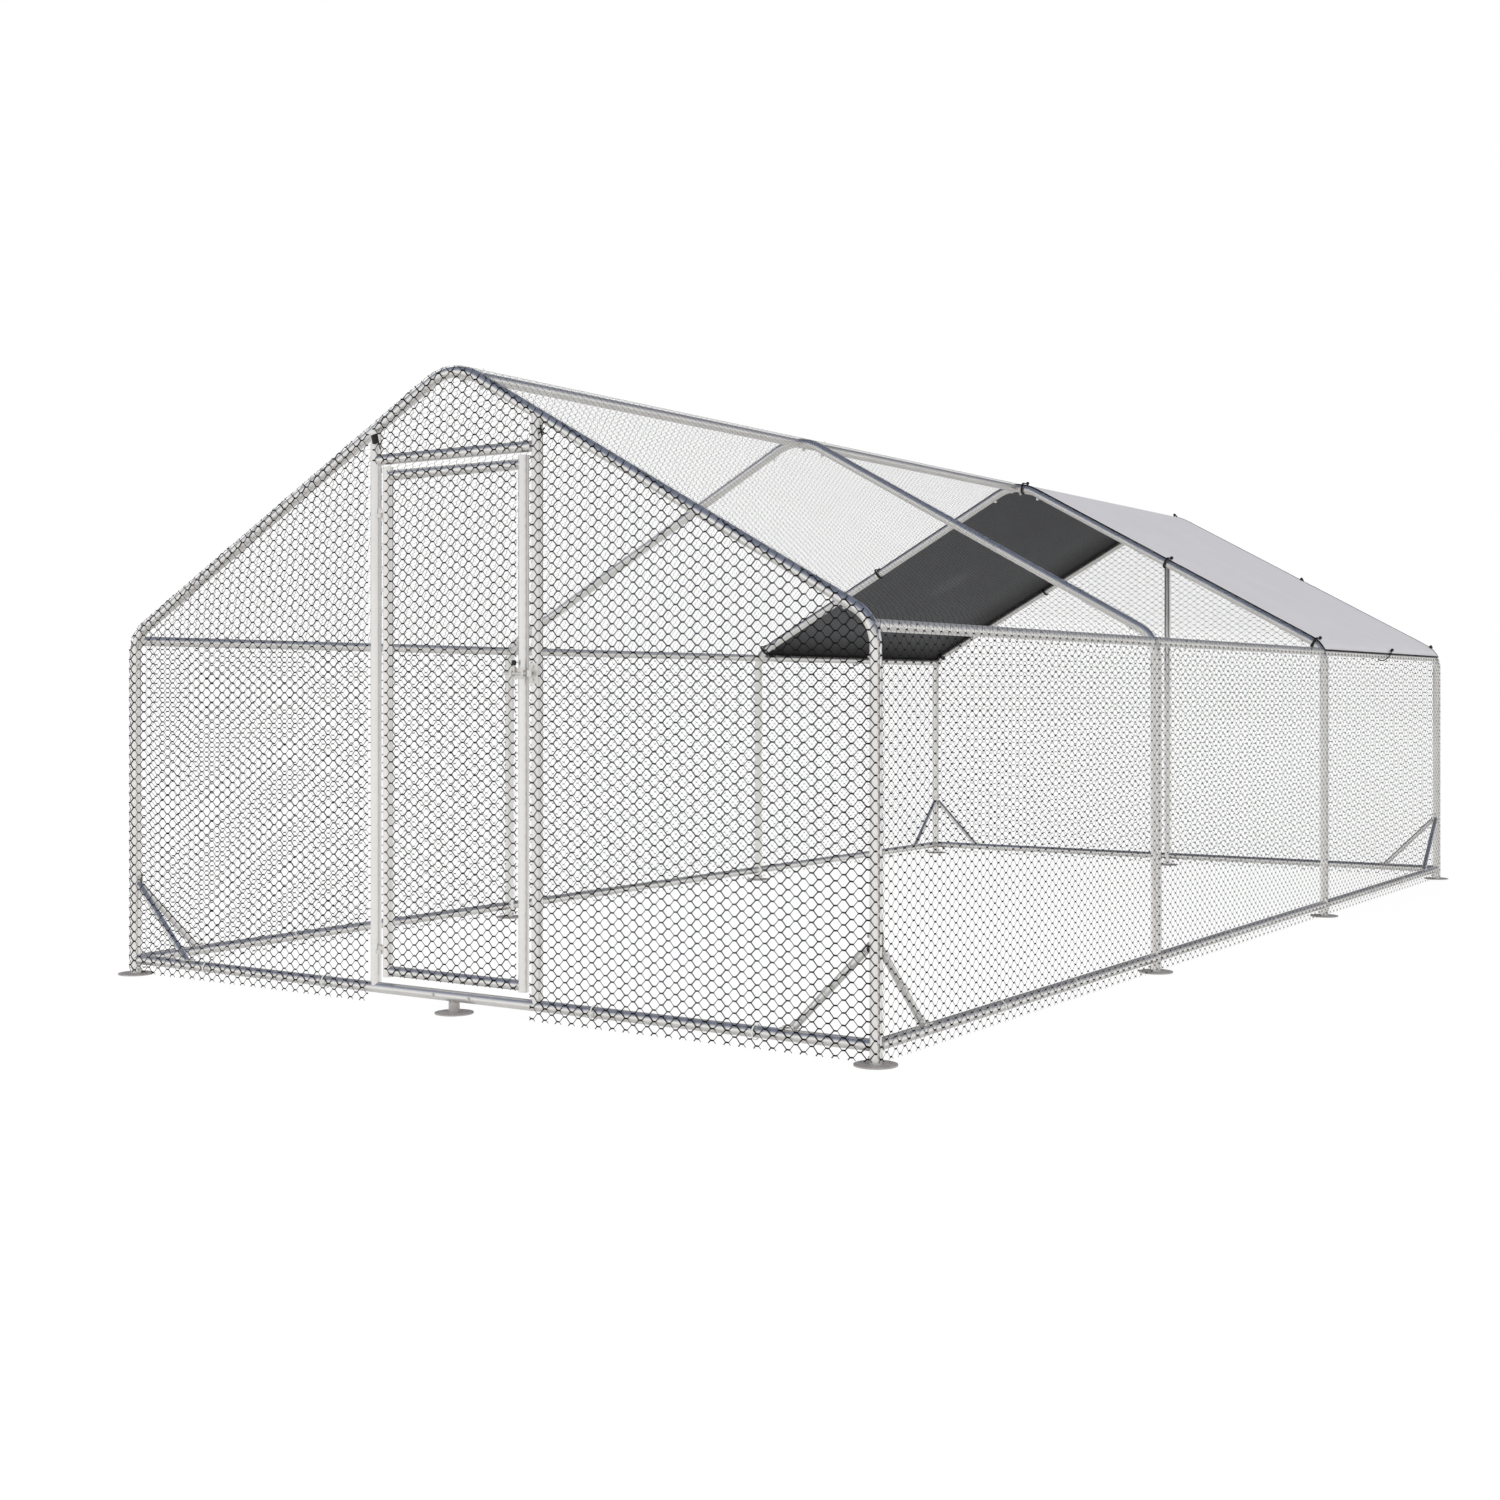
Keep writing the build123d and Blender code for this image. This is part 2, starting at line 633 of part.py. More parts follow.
with BuildPart() as latch_body:
    saddle_back = front_place - leaf_radius + latch_saddle_depth
    block(latch_plate_start, latch_plate_length, plate_face, saddle_back, latch_plate_height)
    saddle_foot = (leaf_stile_offset, front_place, latch_height - latch_plate_height)
    cut_round(saddle_foot, up, leaf_radius + weld_gap, 2 * latch_plate_height)
    for ear_start in (latch_plate_start, latch_plate_start + latch_plate_length - latch_ear_length):
        block(ear_start, latch_ear_length, plate_face, plate_face - latch_ear_depth, latch_ear_height)
    bore_start = (latch_plate_start, bolt_axis_y, latch_height)
    cut_round(bore_start, (1, 0, 0), bolt_radius + latch_bolt_clearance, latch_plate_length)
save(latch_body.part, "latch_body")

with BuildPart() as latch_bolt:
    bolt_start = (latch_bolt_tip - latch_bolt_length, bolt_axis_y, latch_height)
    add_tube(bolt_start, (1, 0, 0), bolt_radius, 0, latch_bolt_length)
    stem_foot = (latch_stem_place, bolt_axis_y, latch_height)
    add_tube(stem_foot, up, latch_stem_diameter / 2, 0, latch_stem_height)
save(latch_bolt.part, "latch_bolt")

with BuildPart() as latch_knob:
    knob_foot = (latch_stem_place, bolt_axis_y, latch_height + latch_stem_height - latch_knob_depth)
    add_tube(knob_foot, up, latch_knob_diameter / 2, 0, latch_knob_height)
    fillet(latch_knob.edges().filter_by(GeomType.CIRCLE), latch_knob_rounding)
    cut_round(knob_foot, up, latch_stem_diameter / 2 + weld_gap, latch_knob_depth + weld_gap)
save(latch_knob.part, "latch_knob")

with BuildPart() as latch_keeper:
    keeper_back = front_place - tube_radius - weld_gap
    keeper_face = keeper_back - keeper_thickness
    block(keeper_start, keeper_length, keeper_back, keeper_face, keeper_height)
    keeper_bore = bolt_radius + keeper_bore_clearance
    loop_front = bolt_axis_y - keeper_bore - keeper_loop_wall
    block(keeper_loop_start, keeper_loop_length, keeper_face, loop_front, keeper_loop_height)
    bore_start = (keeper_loop_start, bolt_axis_y, latch_height)
    cut_round(bore_start, (1, 0, 0), keeper_bore, keeper_loop_length)
    for side in (1, -1):
        start = (door_post_offset, front_place, latch_height + side * keeper_screw_spacing / 2)
        drill(screw_site(keeper_screws, start, forward, tube_radius + weld_gap + keeper_thickness))
save(latch_keeper.part, "latch_keeper")

with BuildPart() as drilled_door_post:
    add(right_door_post.part)
    for site in keeper_screws:
        drill(site)
save(drilled_door_post.part, "right_door_post")

# Netting: flat sheets with six-sided gaps, and strips with one row of gaps round the eave and ridge bends
mesh_run = mesh_column_pitch - mesh_twist_length
mesh_rise = mesh_row_pitch / 2
mesh_diagonal = hypot(mesh_run, mesh_rise)


def mesh_cell():
    # Corners of one gap: the cell outline moved in by half a bar.
    half = mesh_twist_length / 2
    inset = mesh_bar_width / 2
    side = half + mesh_run - inset * mesh_diagonal / mesh_rise
    top = mesh_rise - inset
    shoulder = side - mesh_run * top / mesh_rise
    return [(side, 0), (shoulder, top), (-shoulder, top), (-side, 0), (-shoulder, -top), (shoulder, -top)]


def trimmed(gap, outline):
    # The part of a gap that stays a border's width inside an outline that runs counterclockwise.
    for (x0, y0), (x1, y1) in zip(outline, outline[1:] + outline[:1]):
        length = hypot(x1 - x0, y1 - y0)
        depth = [((x1 - x0) * (y - y0) - (y1 - y0) * (x - x0)) / length - net_border for x, y in gap]
        kept = []
        for i, (x, y) in enumerate(gap):
            before, (px, py) = depth[i - 1], gap[i - 1]
            if (before < 0) != (depth[i] < 0):
                share = before / (before - depth[i])
                kept.append((px + share * (x - px), py + share * (y - py)))
            if depth[i] >= 0:
                kept.append((x, y))
        steps = [hypot(x - kept[i - 1][0], y - kept[i - 1][1]) for i, (x, y) in enumerate(kept)]
        gap = [point for point, step in zip(kept, steps) if step > weld_gap]
        if len(gap) < 3:
            return []
    return gap


def area(points):
    return sum(points[i - 1][0] * y - x * points[i - 1][1] for i, (x, y) in enumerate(points)) / 2


def mesh_gaps(outline, anchor):
    gaps = []
    columns = int((max(x for x, y in outline) - min(x for x, y in outline)) / mesh_column_pitch) + 2
    rows = int((max(y for x, y in outline) - anchor[1]) / mesh_row_pitch) + 1
    for column in range(-columns, columns + 1):
        for row in range(-1, rows + 1):
            x = anchor[0] + column * mesh_column_pitch
            y = anchor[1] + (row + 0.5 + 0.5 * (column % 2)) * mesh_row_pitch
            gap = trimmed([(x + dx, y + dy) for dx, dy in mesh_cell()], outline)
            if gap and area(gap) >= smallest_gap:
                gaps.append(gap)
    return gaps


def add_net(plane, outline, anchor):
    def loop(points):
        return Wire.make_polygon([plane.from_local_coords((x, y, 0)) for x, y in points], close=True)

    gaps = [loop(gap) for gap in mesh_gaps(outline, anchor)]
    extrude(Face(loop(outline), gaps), amount=net_thickness, dir=plane.z_dir)


def bend_strip(centre, bend_radius, start_angle, end_angle, y_start, y_end):
    # A strip of net round a bend from one angle to the other, with one row of gaps.
    radius = bend_radius + net_offset
    turn = end_angle - start_angle
    middle = radians((start_angle + end_angle) / 2)
    outward = (cos(middle), 0, sin(middle))
    centre_y = (y_start + y_end) / 2
    gap_height = radius * radians(turn) - 2 * net_border
    gap_count = int((y_end - y_start - 2 * net_border) / mesh_column_pitch)
    side = (mesh_column_pitch - mesh_bar_width) / 2
    shoulder = side / 2
    top = gap_height / 2
    corners = [(side, 0), (shoulder, top), (-shoulder, top), (-side, 0), (-shoulder, -top), (shoulder, -top)]
    with BuildPart() as strip:
        with BuildSketch(Plane((0, y_start, 0), x_dir=(1, 0, 0), z_dir=forward)) as section:
            with BuildLine():
                inner = CenterArc(centre, radius, start_angle, turn)
                outer = CenterArc(centre, radius + net_thickness, start_angle, turn)
                Line(inner @ 0, outer @ 0)
                Line(inner @ 1, outer @ 1)
            make_face()
        extrude(section.sketch, amount=y_start - y_end)
        crest = (centre[0] + radius * outward[0], centre_y, centre[1] + radius * outward[2])
        with BuildSketch(Plane(crest, x_dir=backward, z_dir=outward)) as gaps:
            with GridLocations(mesh_column_pitch, 0, gap_count, 1):
                Polygon(*corners, align=None)
        extrude(gaps.sketch, amount=bend_radius / 4, both=True, mode=Mode.SUBTRACT)
    return strip.part


def bay_span(bay):
    # Where the nets of a bay start and end along the coop.
    start = front_place - net_overlap if bay == 0 else frame_places[bay] + net_seam / 2
    end = back_place + net_overlap if bay == frame_count - 2 else frame_places[bay + 1] - net_seam / 2
    return start, end


mesh_foot = net_bottom_height + net_border / 2
wall_plane = Plane((half_width + net_offset, 0, 0), x_dir=backward, z_dir=(1, 0, 0))
seam_at_eave = degrees(net_seam / 2 / (eave_bend_radius + net_offset))
with BuildPart() as right_wall_nets:
    for bay in range(frame_count - 1):
        y0, y1 = bay_span(bay)
        strip = bend_strip(eave_centre, eave_bend_radius, 0, eave_rail_angle - seam_at_eave, y0, y1)
        outline = [(y0, net_bottom_height), (y1, net_bottom_height), (y1, post_top), (y0, post_top)]
        with BuildPart(mode=Mode.PRIVATE) as net:
            add_net(wall_plane, outline, ((y0 + y1) / 2, mesh_foot))
            add(strip)
        add(net.part)
save(right_wall_nets.part, "right_wall_nets")
with BuildPart() as left_wall_nets:
    mirror(right_wall_nets.part, about=Plane.YZ)
save(left_wall_nets.part, "left_wall_nets")

low_edge = Vector(rafter_low[0], 0, rafter_low[1]) + Vector(off_slope) * net_offset
roof_plane = Plane(low_edge, x_dir=backward, z_dir=off_slope)
seam_at_ridge = degrees(net_seam / 2 / (ridge_bend_radius + net_offset))
with BuildPart() as right_roof_nets:
    for bay in range(frame_count - 1):
        y0, y1 = bay_span(bay)
        strip_start = eave_rail_angle + seam_at_eave
        eave_strip = bend_strip(eave_centre, eave_bend_radius, strip_start, eave_turn, y0, y1)
        ridge_strip = bend_strip(ridge_centre, ridge_bend_radius, eave_turn, 90 - seam_at_ridge, y0, y1)
        outline = [(y0, 0), (y1, 0), (y1, rafter_length), (y0, rafter_length)]
        with BuildPart(mode=Mode.PRIVATE) as net:
            add_net(roof_plane, outline, ((y0 + y1) / 2, 0))
            add(eave_strip)
            add(ridge_strip)
        add(net.part)
save(right_roof_nets.part, "right_roof_nets")
with BuildPart() as left_roof_nets:
    mirror(right_roof_nets.part, about=Plane.YZ)
save(left_roof_nets.part, "left_roof_nets")


def bend_edge(centre, radius, start_angle, end_angle, steps):
    # Points along a bend, for the edge of a net at an end of the coop.
    turn = end_angle - start_angle
    angles = [radians(start_angle + turn * i / steps) for i in range(steps + 1)]
    return [(centre[0] + radius * cos(t), centre[1] + radius * sin(t)) for t in angles]


def rafter_edge(x):
    return rafter_height(x) + net_overlap / cos(slope)


eave_edge = bend_edge(eave_centre, eave_bend_radius + net_overlap, 0, eave_turn, 2)
ridge_edge = bend_edge(ridge_centre, ridge_bend_radius + net_overlap, eave_turn, 90, 1)
front_plane = Plane((0, front_place - net_offset, 0), x_dir=(1, 0, 0), z_dir=forward)
back_plane = Plane((0, back_place + net_offset, 0), x_dir=inward, z_dir=backward)


def mirrored(outline):
    return [(-x, y) for x, y in reversed(outline)]


outer_edge = half_width + net_overlap
right_edge = door_post_offset - net_overlap
front_right_outline = [(right_edge, net_bottom_height), (outer_edge, net_bottom_height)] + eave_edge
front_right_outline.append((right_edge, rafter_edge(right_edge)))
front_right_anchor = ((right_edge + outer_edge) / 2, mesh_foot)
notch_height = keeper_height + 2 * net_border
with BuildPart() as front_right_net:
    add_net(front_plane, front_right_outline, front_right_anchor)
    notch_length = keeper_start + keeper_length + net_border - right_edge
    block(right_edge, notch_length, front_place, front_place - 2 * tube_radius, notch_height, Mode.SUBTRACT)
save(front_right_net.part, "front_right_net")

left_edge = door_post_offset + net_seam / 2
front_left_outline = [(left_edge, net_bottom_height), (outer_edge, net_bottom_height)] + eave_edge
front_left_outline.append((left_edge, rafter_edge(left_edge)))
with BuildPart() as front_left_net:
    add_net(front_plane, mirrored(front_left_outline), (-(left_edge + outer_edge) / 2, mesh_foot))
save(front_left_net.part, "front_left_net")

gable_left = -door_post_offset + net_seam / 2
gable_right = right_edge - net_seam
gable_foot = header_height - net_overlap
gable_outline = [(gable_left, gable_foot), (gable_right, gable_foot)]
gable_outline.append((gable_right, rafter_edge(gable_right)))
gable_outline += ridge_edge + mirrored(ridge_edge)[1:]
gable_outline.append((gable_left, rafter_edge(-gable_left)))
with BuildPart() as front_gable_net:
    add_net(front_plane, gable_outline, (0, gable_foot + net_border / 2))
save(front_gable_net.part, "front_gable_net")

back_inner = net_seam / 2
back_outline = [(back_inner, net_bottom_height), (outer_edge, net_bottom_height)] + eave_edge
back_outline += bend_edge(ridge_centre, ridge_bend_radius + net_overlap, eave_turn, 89.5, 1)
back_outline.append((back_inner, ridge_axis_height + net_overlap / 2))
back_anchor = ((back_inner + outer_edge) / 2, mesh_foot)
with BuildPart() as back_left_net:
    add_net(back_plane, back_outline, back_anchor)
save(back_left_net.part, "back_left_net")
with BuildPart() as back_right_net:
    mirror(back_left_net.part, about=Plane.YZ)
save(back_right_net.part, "back_right_net")

door_plane = Plane((0, front_place - leaf_radius - net_gap, 0), x_dir=(1, 0, 0), z_dir=forward)
door_net_left = -leaf_stile_offset
door_net_right = leaf_stile_offset - leaf_net_inset
door_net_foot = leaf_bottom_rail_height - leaf_net_inset
door_net_top = leaf_top_rail_height + leaf_net_inset
with BuildPart() as door_net:
    corners = [(door_net_left, door_net_foot), (door_net_right, door_net_foot),
               (door_net_right, door_net_top), (door_net_left, door_net_top)]
    add_net(door_plane, corners, ((door_net_left + door_net_right) / 2, door_net_foot + net_border / 2))
    notch_start = latch_plate_start - net_border
    notch_length = latch_plate_length + 2 * net_border
    notch_height = latch_plate_height + 2 * net_border
    block(notch_start, notch_length, front_place, front_place - 2 * tube_radius, notch_height, Mode.SUBTRACT)
save(door_net.part, "door_net")

# Roof cover over the last bay, with eyelets
cover_offset = net_offset + net_thickness + cover_gap
cover_top = cover_offset + cover_thickness
cover_start = frame_places[-2] - cover_front_overhang
cover_end = back_place + cover_back_overhang


def on_bend(centre, bend_radius, angle, y):
    # A tie site: a point on the line of the tube axes and the way out from it.
    way = Vector(cos(radians(angle)), 0, sin(radians(angle)))
    return Vector(centre[0], y, centre[1]) + way * bend_radius, way


def on_slope(place, y):
    return Vector(rafter_low[0], y, rafter_low[1]) + Vector(up_slope) * place, Vector(off_slope)


# The first list is mirrored to the left; the top ties are on the right of the ridge alone
side_ties = [on_bend(eave_centre, eave_bend_radius, edge_tie_angle, cover_start + edge_tie_place)]
top_ties = []
for y in (cover_start + eyelet_inset, cover_end - eyelet_inset):
    side_ties.append(on_bend(eave_centre, eave_bend_radius, eave_tie_angle, y))
    side_ties.append(on_slope(slope_tie_place, y))
    top_ties.append(on_bend(ridge_centre, ridge_bend_radius, ridge_tie_angle, y))


def cut_eyelets(sites):
    for start, way in sites:
        foot = start + way * (cover_offset - cover_gap / 2)
        cut_round(foot, way, eyelet_diameter / 2, 2 * cover_thickness)


with BuildPart() as roof_cover:
    with BuildSketch(Plane((0, cover_start, 0), x_dir=(1, 0, 0), z_dir=forward)) as section:
        with BuildLine():
            ends = []
            edge_turn = eave_turn - cover_edge_angle
            for offset in (cover_offset, cover_top):
                eave = CenterArc(eave_centre, eave_bend_radius + offset, cover_edge_angle, edge_turn)
                ridge = CenterArc(ridge_centre, ridge_bend_radius + offset, eave_turn, slope_degrees)
                Line(eave @ 1, ridge @ 0)
                ends.append((eave @ 0, ridge @ 1))
            Line(ends[0][0], ends[1][0])
            Line(ends[0][1], ends[1][1])
        make_face()
    extrude(section.sketch, amount=cover_start - cover_end)
    cut_eyelets(side_ties)
    mirror(about=Plane.YZ)
    cut_eyelets(top_ties)
save(roof_cover.part, "roof_cover")

# Ball ties: a ball on the cover and a stem through its eyelet
ball_lift = cover_top + tie_seat_gap + tie_ball_diameter / 2
stem_lift = net_offset + net_thickness + tie_seat_gap / 2


def add_ties(sites):
    for start, way in sites:
        with Locations(start + way * ball_lift):
            Sphere(tie_ball_diameter / 2)
        add_tube(start + way * stem_lift, way, tie_stem_diameter / 2, 0, ball_lift - stem_lift)


with BuildPart() as cover_ties:
    add_ties(side_ties)
    mirror(about=Plane.YZ)
    add_ties(top_ties)
save(cover_ties.part, "cover_ties")

# Net ties: loose rings round a bottom rail and the net on it
net_tie_radius = net_tie_bore / 2
net_tie_shift = net_tie_radius - tube_radius - net_tie_slack


def net_tie(centre, along):
    start = Vector(centre) - Vector(along) * net_tie_width / 2
    add_tube(start, along, net_tie_radius + net_tie_thickness, net_tie_radius, net_tie_width)


with BuildPart() as net_ties:
    for y in frame_places[:-1]:
        for side in (1, -1):
            place = y + bay_length / 2 + side * net_tie_side_place
            net_tie((half_width + net_tie_shift, place, bottom_rail_height), backward)
    for x in net_tie_front_places:
        net_tie((x, front_place - net_tie_shift, bottom_rail_height), (1, 0, 0))
    mirror(about=Plane.YZ)
save(net_ties.part, "net_ties")

# Screws
with BuildPart() as screw:
    add_tube((0, 0, -screw_length), up, screw_diameter / 2, 0, screw_length)
    add_tube((0, 0, 0), up, screw_flange_diameter / 2, 0, screw_flange_thickness)
    with BuildSketch(Plane((0, 0, screw_flange_thickness))) as head:
        RegularPolygon(screw_head_size / 2, 6, major_radius=False)
    extrude(head.sketch, amount=screw_head_height)


def seats(sites):
    return [
        Location(Plane(Vector(start) + Vector(way) * (seat + screw_seat_gap), z_dir=way))
        for start, way, seat in sites
    ]


with BuildPart() as frame_screws:
    with Locations(*seats(side_screws)):
        add(screw.part)
    mirror(about=Plane.YZ)
    with Locations(*seats(middle_screws + keeper_screws)):
        add(screw.part)
save(frame_screws.part, "frame_screws")

with BuildPart() as door_screws:
    with Locations(*seats(leaf_screws)):
        add(screw.part)
    mirror(about=Plane.YZ)
save(door_screws.part, "door_screws")
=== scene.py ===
import json
from math import atan2, cos, pi, radians, tan

import bpy
import numpy as np
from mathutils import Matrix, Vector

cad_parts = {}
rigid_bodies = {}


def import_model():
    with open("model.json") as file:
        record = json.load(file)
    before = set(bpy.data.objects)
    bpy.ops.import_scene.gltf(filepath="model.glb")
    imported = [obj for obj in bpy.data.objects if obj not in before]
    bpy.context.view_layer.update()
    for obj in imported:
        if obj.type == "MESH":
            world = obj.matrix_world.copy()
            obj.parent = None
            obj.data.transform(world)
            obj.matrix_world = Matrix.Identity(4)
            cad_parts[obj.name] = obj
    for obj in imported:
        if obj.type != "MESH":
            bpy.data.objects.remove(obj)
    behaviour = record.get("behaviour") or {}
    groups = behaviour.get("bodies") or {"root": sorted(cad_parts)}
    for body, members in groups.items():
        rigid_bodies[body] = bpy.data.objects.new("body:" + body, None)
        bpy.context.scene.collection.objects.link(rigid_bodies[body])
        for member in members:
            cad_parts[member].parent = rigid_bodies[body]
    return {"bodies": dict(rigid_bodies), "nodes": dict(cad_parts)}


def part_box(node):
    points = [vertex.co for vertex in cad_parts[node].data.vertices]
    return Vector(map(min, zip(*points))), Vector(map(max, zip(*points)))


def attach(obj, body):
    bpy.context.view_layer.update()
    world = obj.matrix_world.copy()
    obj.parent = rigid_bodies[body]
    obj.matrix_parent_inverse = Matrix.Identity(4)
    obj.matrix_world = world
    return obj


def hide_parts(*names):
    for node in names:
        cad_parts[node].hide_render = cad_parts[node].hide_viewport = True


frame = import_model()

scene = bpy.context.scene
keep = set(frame["nodes"].values()) | set(frame["bodies"].values())
for extra in [o for o in bpy.data.objects if o not in keep]:
    bpy.data.objects.remove(extra)
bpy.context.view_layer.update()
print("frame loaded,", len(frame["nodes"]), "nodes")


# small tools for nodes, colours and meshes

def linear(hexColour):
    # sRGB hex to linear light, the usual two-part curve on each channel
    part = np.array([int(hexColour[k:k + 2], 16) for k in (1, 3, 5)]) / 255
    value = np.where(part <= 0.04045, part / 12.92, ((part + 0.055) / 1.055) ** 2.4)
    return (*value.tolist(), 1.0)


def addNode(tree, kind, settings=None, links=None):
    # settings go to the node's own properties where it has them, and otherwise to its sockets
    node = tree.nodes.new(kind)
    for name, value in (settings or {}).items():
        if isinstance(name, str) and hasattr(node, name):
            setattr(node, name, value)
        else:
            node.inputs[name].default_value = value
    for name, source in (links or {}).items():
        tree.links.new(source, node.inputs[name])
    return node


def newMaterial(name, settings):
    # a Principled shader with its constant values on its own sockets
    material = bpy.data.materials.new(name)
    material.use_nodes = True
    tree = material.node_tree
    tree.nodes.clear()
    shader = addNode(tree, "ShaderNodeBsdfPrincipled", settings)
    addNode(tree, "ShaderNodeOutputMaterial", None, {"Surface": shader.outputs[0]})
    return material, tree, shader


def newMesh(name, points, corners, counts, materials, smooth=False):
    # points is n x 3, corners the vertex numbers of all faces in a row, counts the corners of each face
    mesh = bpy.data.meshes.new(name)
    mesh.vertices.add(len(points))
    mesh.vertices.foreach_set("co", np.ascontiguousarray(points, dtype=np.float32).ravel())
    mesh.loops.add(len(corners))
    mesh.loops.foreach_set("vertex_index", np.ascontiguousarray(corners, dtype=np.int32))
    mesh.polygons.add(len(counts))
    starts = np.concatenate(([0], np.cumsum(counts)[:-1])).astype(np.int32)
    mesh.polygons.foreach_set("loop_start", starts)
    mesh.update(calc_edges=True)
    mesh.validate()
    if smooth:
        mesh.polygons.foreach_set("use_smooth", np.ones(len(mesh.polygons), dtype=bool))
    piece = bpy.data.objects.new(name, mesh)
    scene.collection.objects.link(piece)
    for material in materials:
        mesh.materials.append(material)
    return piece


tiny = 1e-12  # a length or a rate below this counts as nothing


def unit(vectors):
    # each vector divided by its own length
    return vectors / np.maximum(np.linalg.norm(vectors, axis=-1, keepdims=True), tiny)


# the bent line that every portal frame follows, at the tube axis, in metres; a corner is where the straight
# lines on both sides of a bend would cross

portal = {"halfWidth": 1.5, "eaveCorner": 1.190, "ridgeCorner": 2.012, "eaveRadius": 0.12,
          "ridgeRadius": 0.2, "eaveRail": radians(27), "frames": (-3.0, -1.0, 1.0, 3.0)}
frames = portal["frames"]
slope = atan2(portal["ridgeCorner"] - portal["eaveCorner"], portal["halfWidth"])
eaveTurn = pi / 2 - slope
postTop = portal["eaveCorner"] - portal["eaveRadius"] * tan(eaveTurn / 2)
eaveCentre = np.array((portal["halfWidth"] - portal["eaveRadius"], postTop))
ridgeCentre = np.array((0.0, portal["ridgeCorner"] - portal["ridgeRadius"] / cos(slope)))
ridgeAxis = np.array((0, 0, ridgeCentre[1] + portal["ridgeRadius"]))
slopeNormal = np.array((np.cos(eaveTurn), np.sin(eaveTurn)))
slopeWay = np.array((-slopeNormal[1], slopeNormal[0]))
slopeLow = eaveCentre + portal["eaveRadius"] * slopeNormal
slopeHigh = ridgeCentre + portal["ridgeRadius"] * slopeNormal
slopeLength = float(np.linalg.norm(slopeHigh - slopeLow))
# lengths up the line from the ground
slopeStart = postTop + portal["eaveRadius"] * eaveTurn
ridgeStart = slopeStart + slopeLength
portalLength = ridgeStart + portal["ridgeRadius"] * (pi / 2 - eaveTurn)


def eaveLength(angle):
    # length up the line to a place on the eave bend, as an angle up from level
    return postTop + portal["eaveRadius"] * angle


def alongPortal(length, offset):
    # walks up the post, round the eave circle, up the straight slope and round the ridge circle;
    # gives x, z and the outward normal at that length from the ground, moved out by offset
    turn = (np.clip((length - postTop) / portal["eaveRadius"], 0, eaveTurn)
            + np.clip((length - ridgeStart) / portal["ridgeRadius"], 0, pi / 2 - eaveTurn))
    nx, nz = np.cos(turn), np.sin(turn)
    climb = length - slopeStart
    stretches = [length < postTop, length < slopeStart, length < ridgeStart]
    x = np.select(stretches, [np.full_like(length, portal["halfWidth"]),
                              eaveCentre[0] + portal["eaveRadius"] * nx,
                              slopeLow[0] + climb * slopeWay[0]], portal["ridgeRadius"] * nx)
    z = np.select(stretches, [length, eaveCentre[1] + portal["eaveRadius"] * nz,
                              slopeLow[1] + climb * slopeWay[1]],
                  ridgeCentre[1] + portal["ridgeRadius"] * nz)
    return x + offset * nx, z + offset * nz, nx, nz


def portalPlace(length, side):
    # tube centre, outward normal and the direction up the portal, as points in the frame of the coop
    x, z, nx, nz = (float(v[0]) for v in alongPortal(np.array([length]), 0.0))
    return np.array((side * x, 0, z)), np.array((side * nx, 0, nz)), np.array((-side * nz, 0, nx))


railLength = eaveLength(portal["eaveRail"])


# materials

# a colour mix takes its share on socket 0 and its two colours on 6 and 7, and gives the result on output 2

def toneAndSheen(tree, shader, pattern, look):
    # one pattern drives the colour, from dark to pale, and the roughness over its range
    colour = addNode(tree, "ShaderNodeMix", {"data_type": "RGBA", 6: linear(look["dark"]),
                                             7: linear(look["pale"])}, {0: pattern})
    tree.links.new(colour.outputs[2], shader.inputs["Base Color"])
    rough = addNode(tree, "ShaderNodeMapRange", {"To Min": look["rough"][0], "To Max": look["rough"][1]},
                    {"Value": pattern})
    tree.links.new(rough.outputs[0], shader.inputs["Roughness"])


def fineGrain(tree, shader, where, look):
    # small bumps from a noise of the grain's size
    grain = addNode(tree, "ShaderNodeTexNoise",
                    {"Scale": 1000 / look["grainMm"], "Detail": look["grainDetail"]}, {"Vector": where})
    bump = addNode(tree, "ShaderNodeBump", {"Strength": look["grainBump"], "Distance": look["grainDepth"]},
                   {"Height": grain.outputs["Fac"]})
    tree.links.new(bump.outputs[0], shader.inputs["Normal"])


zinc = {"toneRange": (0.35, 0.95), "cloudDetail": 4.0, "cloudRough": 0.6,
        "grainMm": 3.0, "grainDetail": 2.0, "grainBump": 0.25, "grainDepth": 0.0002}


def galvanisedSteel(name, look):
    # hot-dip galvanised steel: soft zinc crystals of two greys, cloudy streaks and a dull, uneven sheen
    look = {**zinc, **look}
    material, tree, shader = newMaterial(name, {"Metallic": look["metallic"]})
    where = addNode(tree, "ShaderNodeTexCoord").outputs["Object"]
    crystals = addNode(tree, "ShaderNodeTexVoronoi", {"Scale": 1000 / look["crystalMm"]}, {"Vector": where})
    clouds = addNode(tree, "ShaderNodeTexNoise",
                     {"Scale": 1000 / look["cloudMm"], "Detail": look["cloudDetail"],
                      "Roughness": look["cloudRough"]}, {"Vector": where})
    shade = addNode(tree, "ShaderNodeMath", {"operation": "MULTIPLY_ADD", 1: look["crystalShare"]},
                    {0: crystals.outputs["Color"], 2: clouds.outputs["Fac"]})
    low, high = look["toneRange"]
    tone = addNode(tree, "ShaderNodeMapRange", {"From Min": low, "From Max": high},
                   {"Value": shade.outputs[0]})
    toneAndSheen(tree, shader, tone.outputs[0], look)
    fineGrain(tree, shader, where, look)
    return material


coat = {"specular": 0.5, "driftDetail": 3.0, "grainDetail": 1.0, "grainBump": 0.2, "grainDepth": 0.0002}


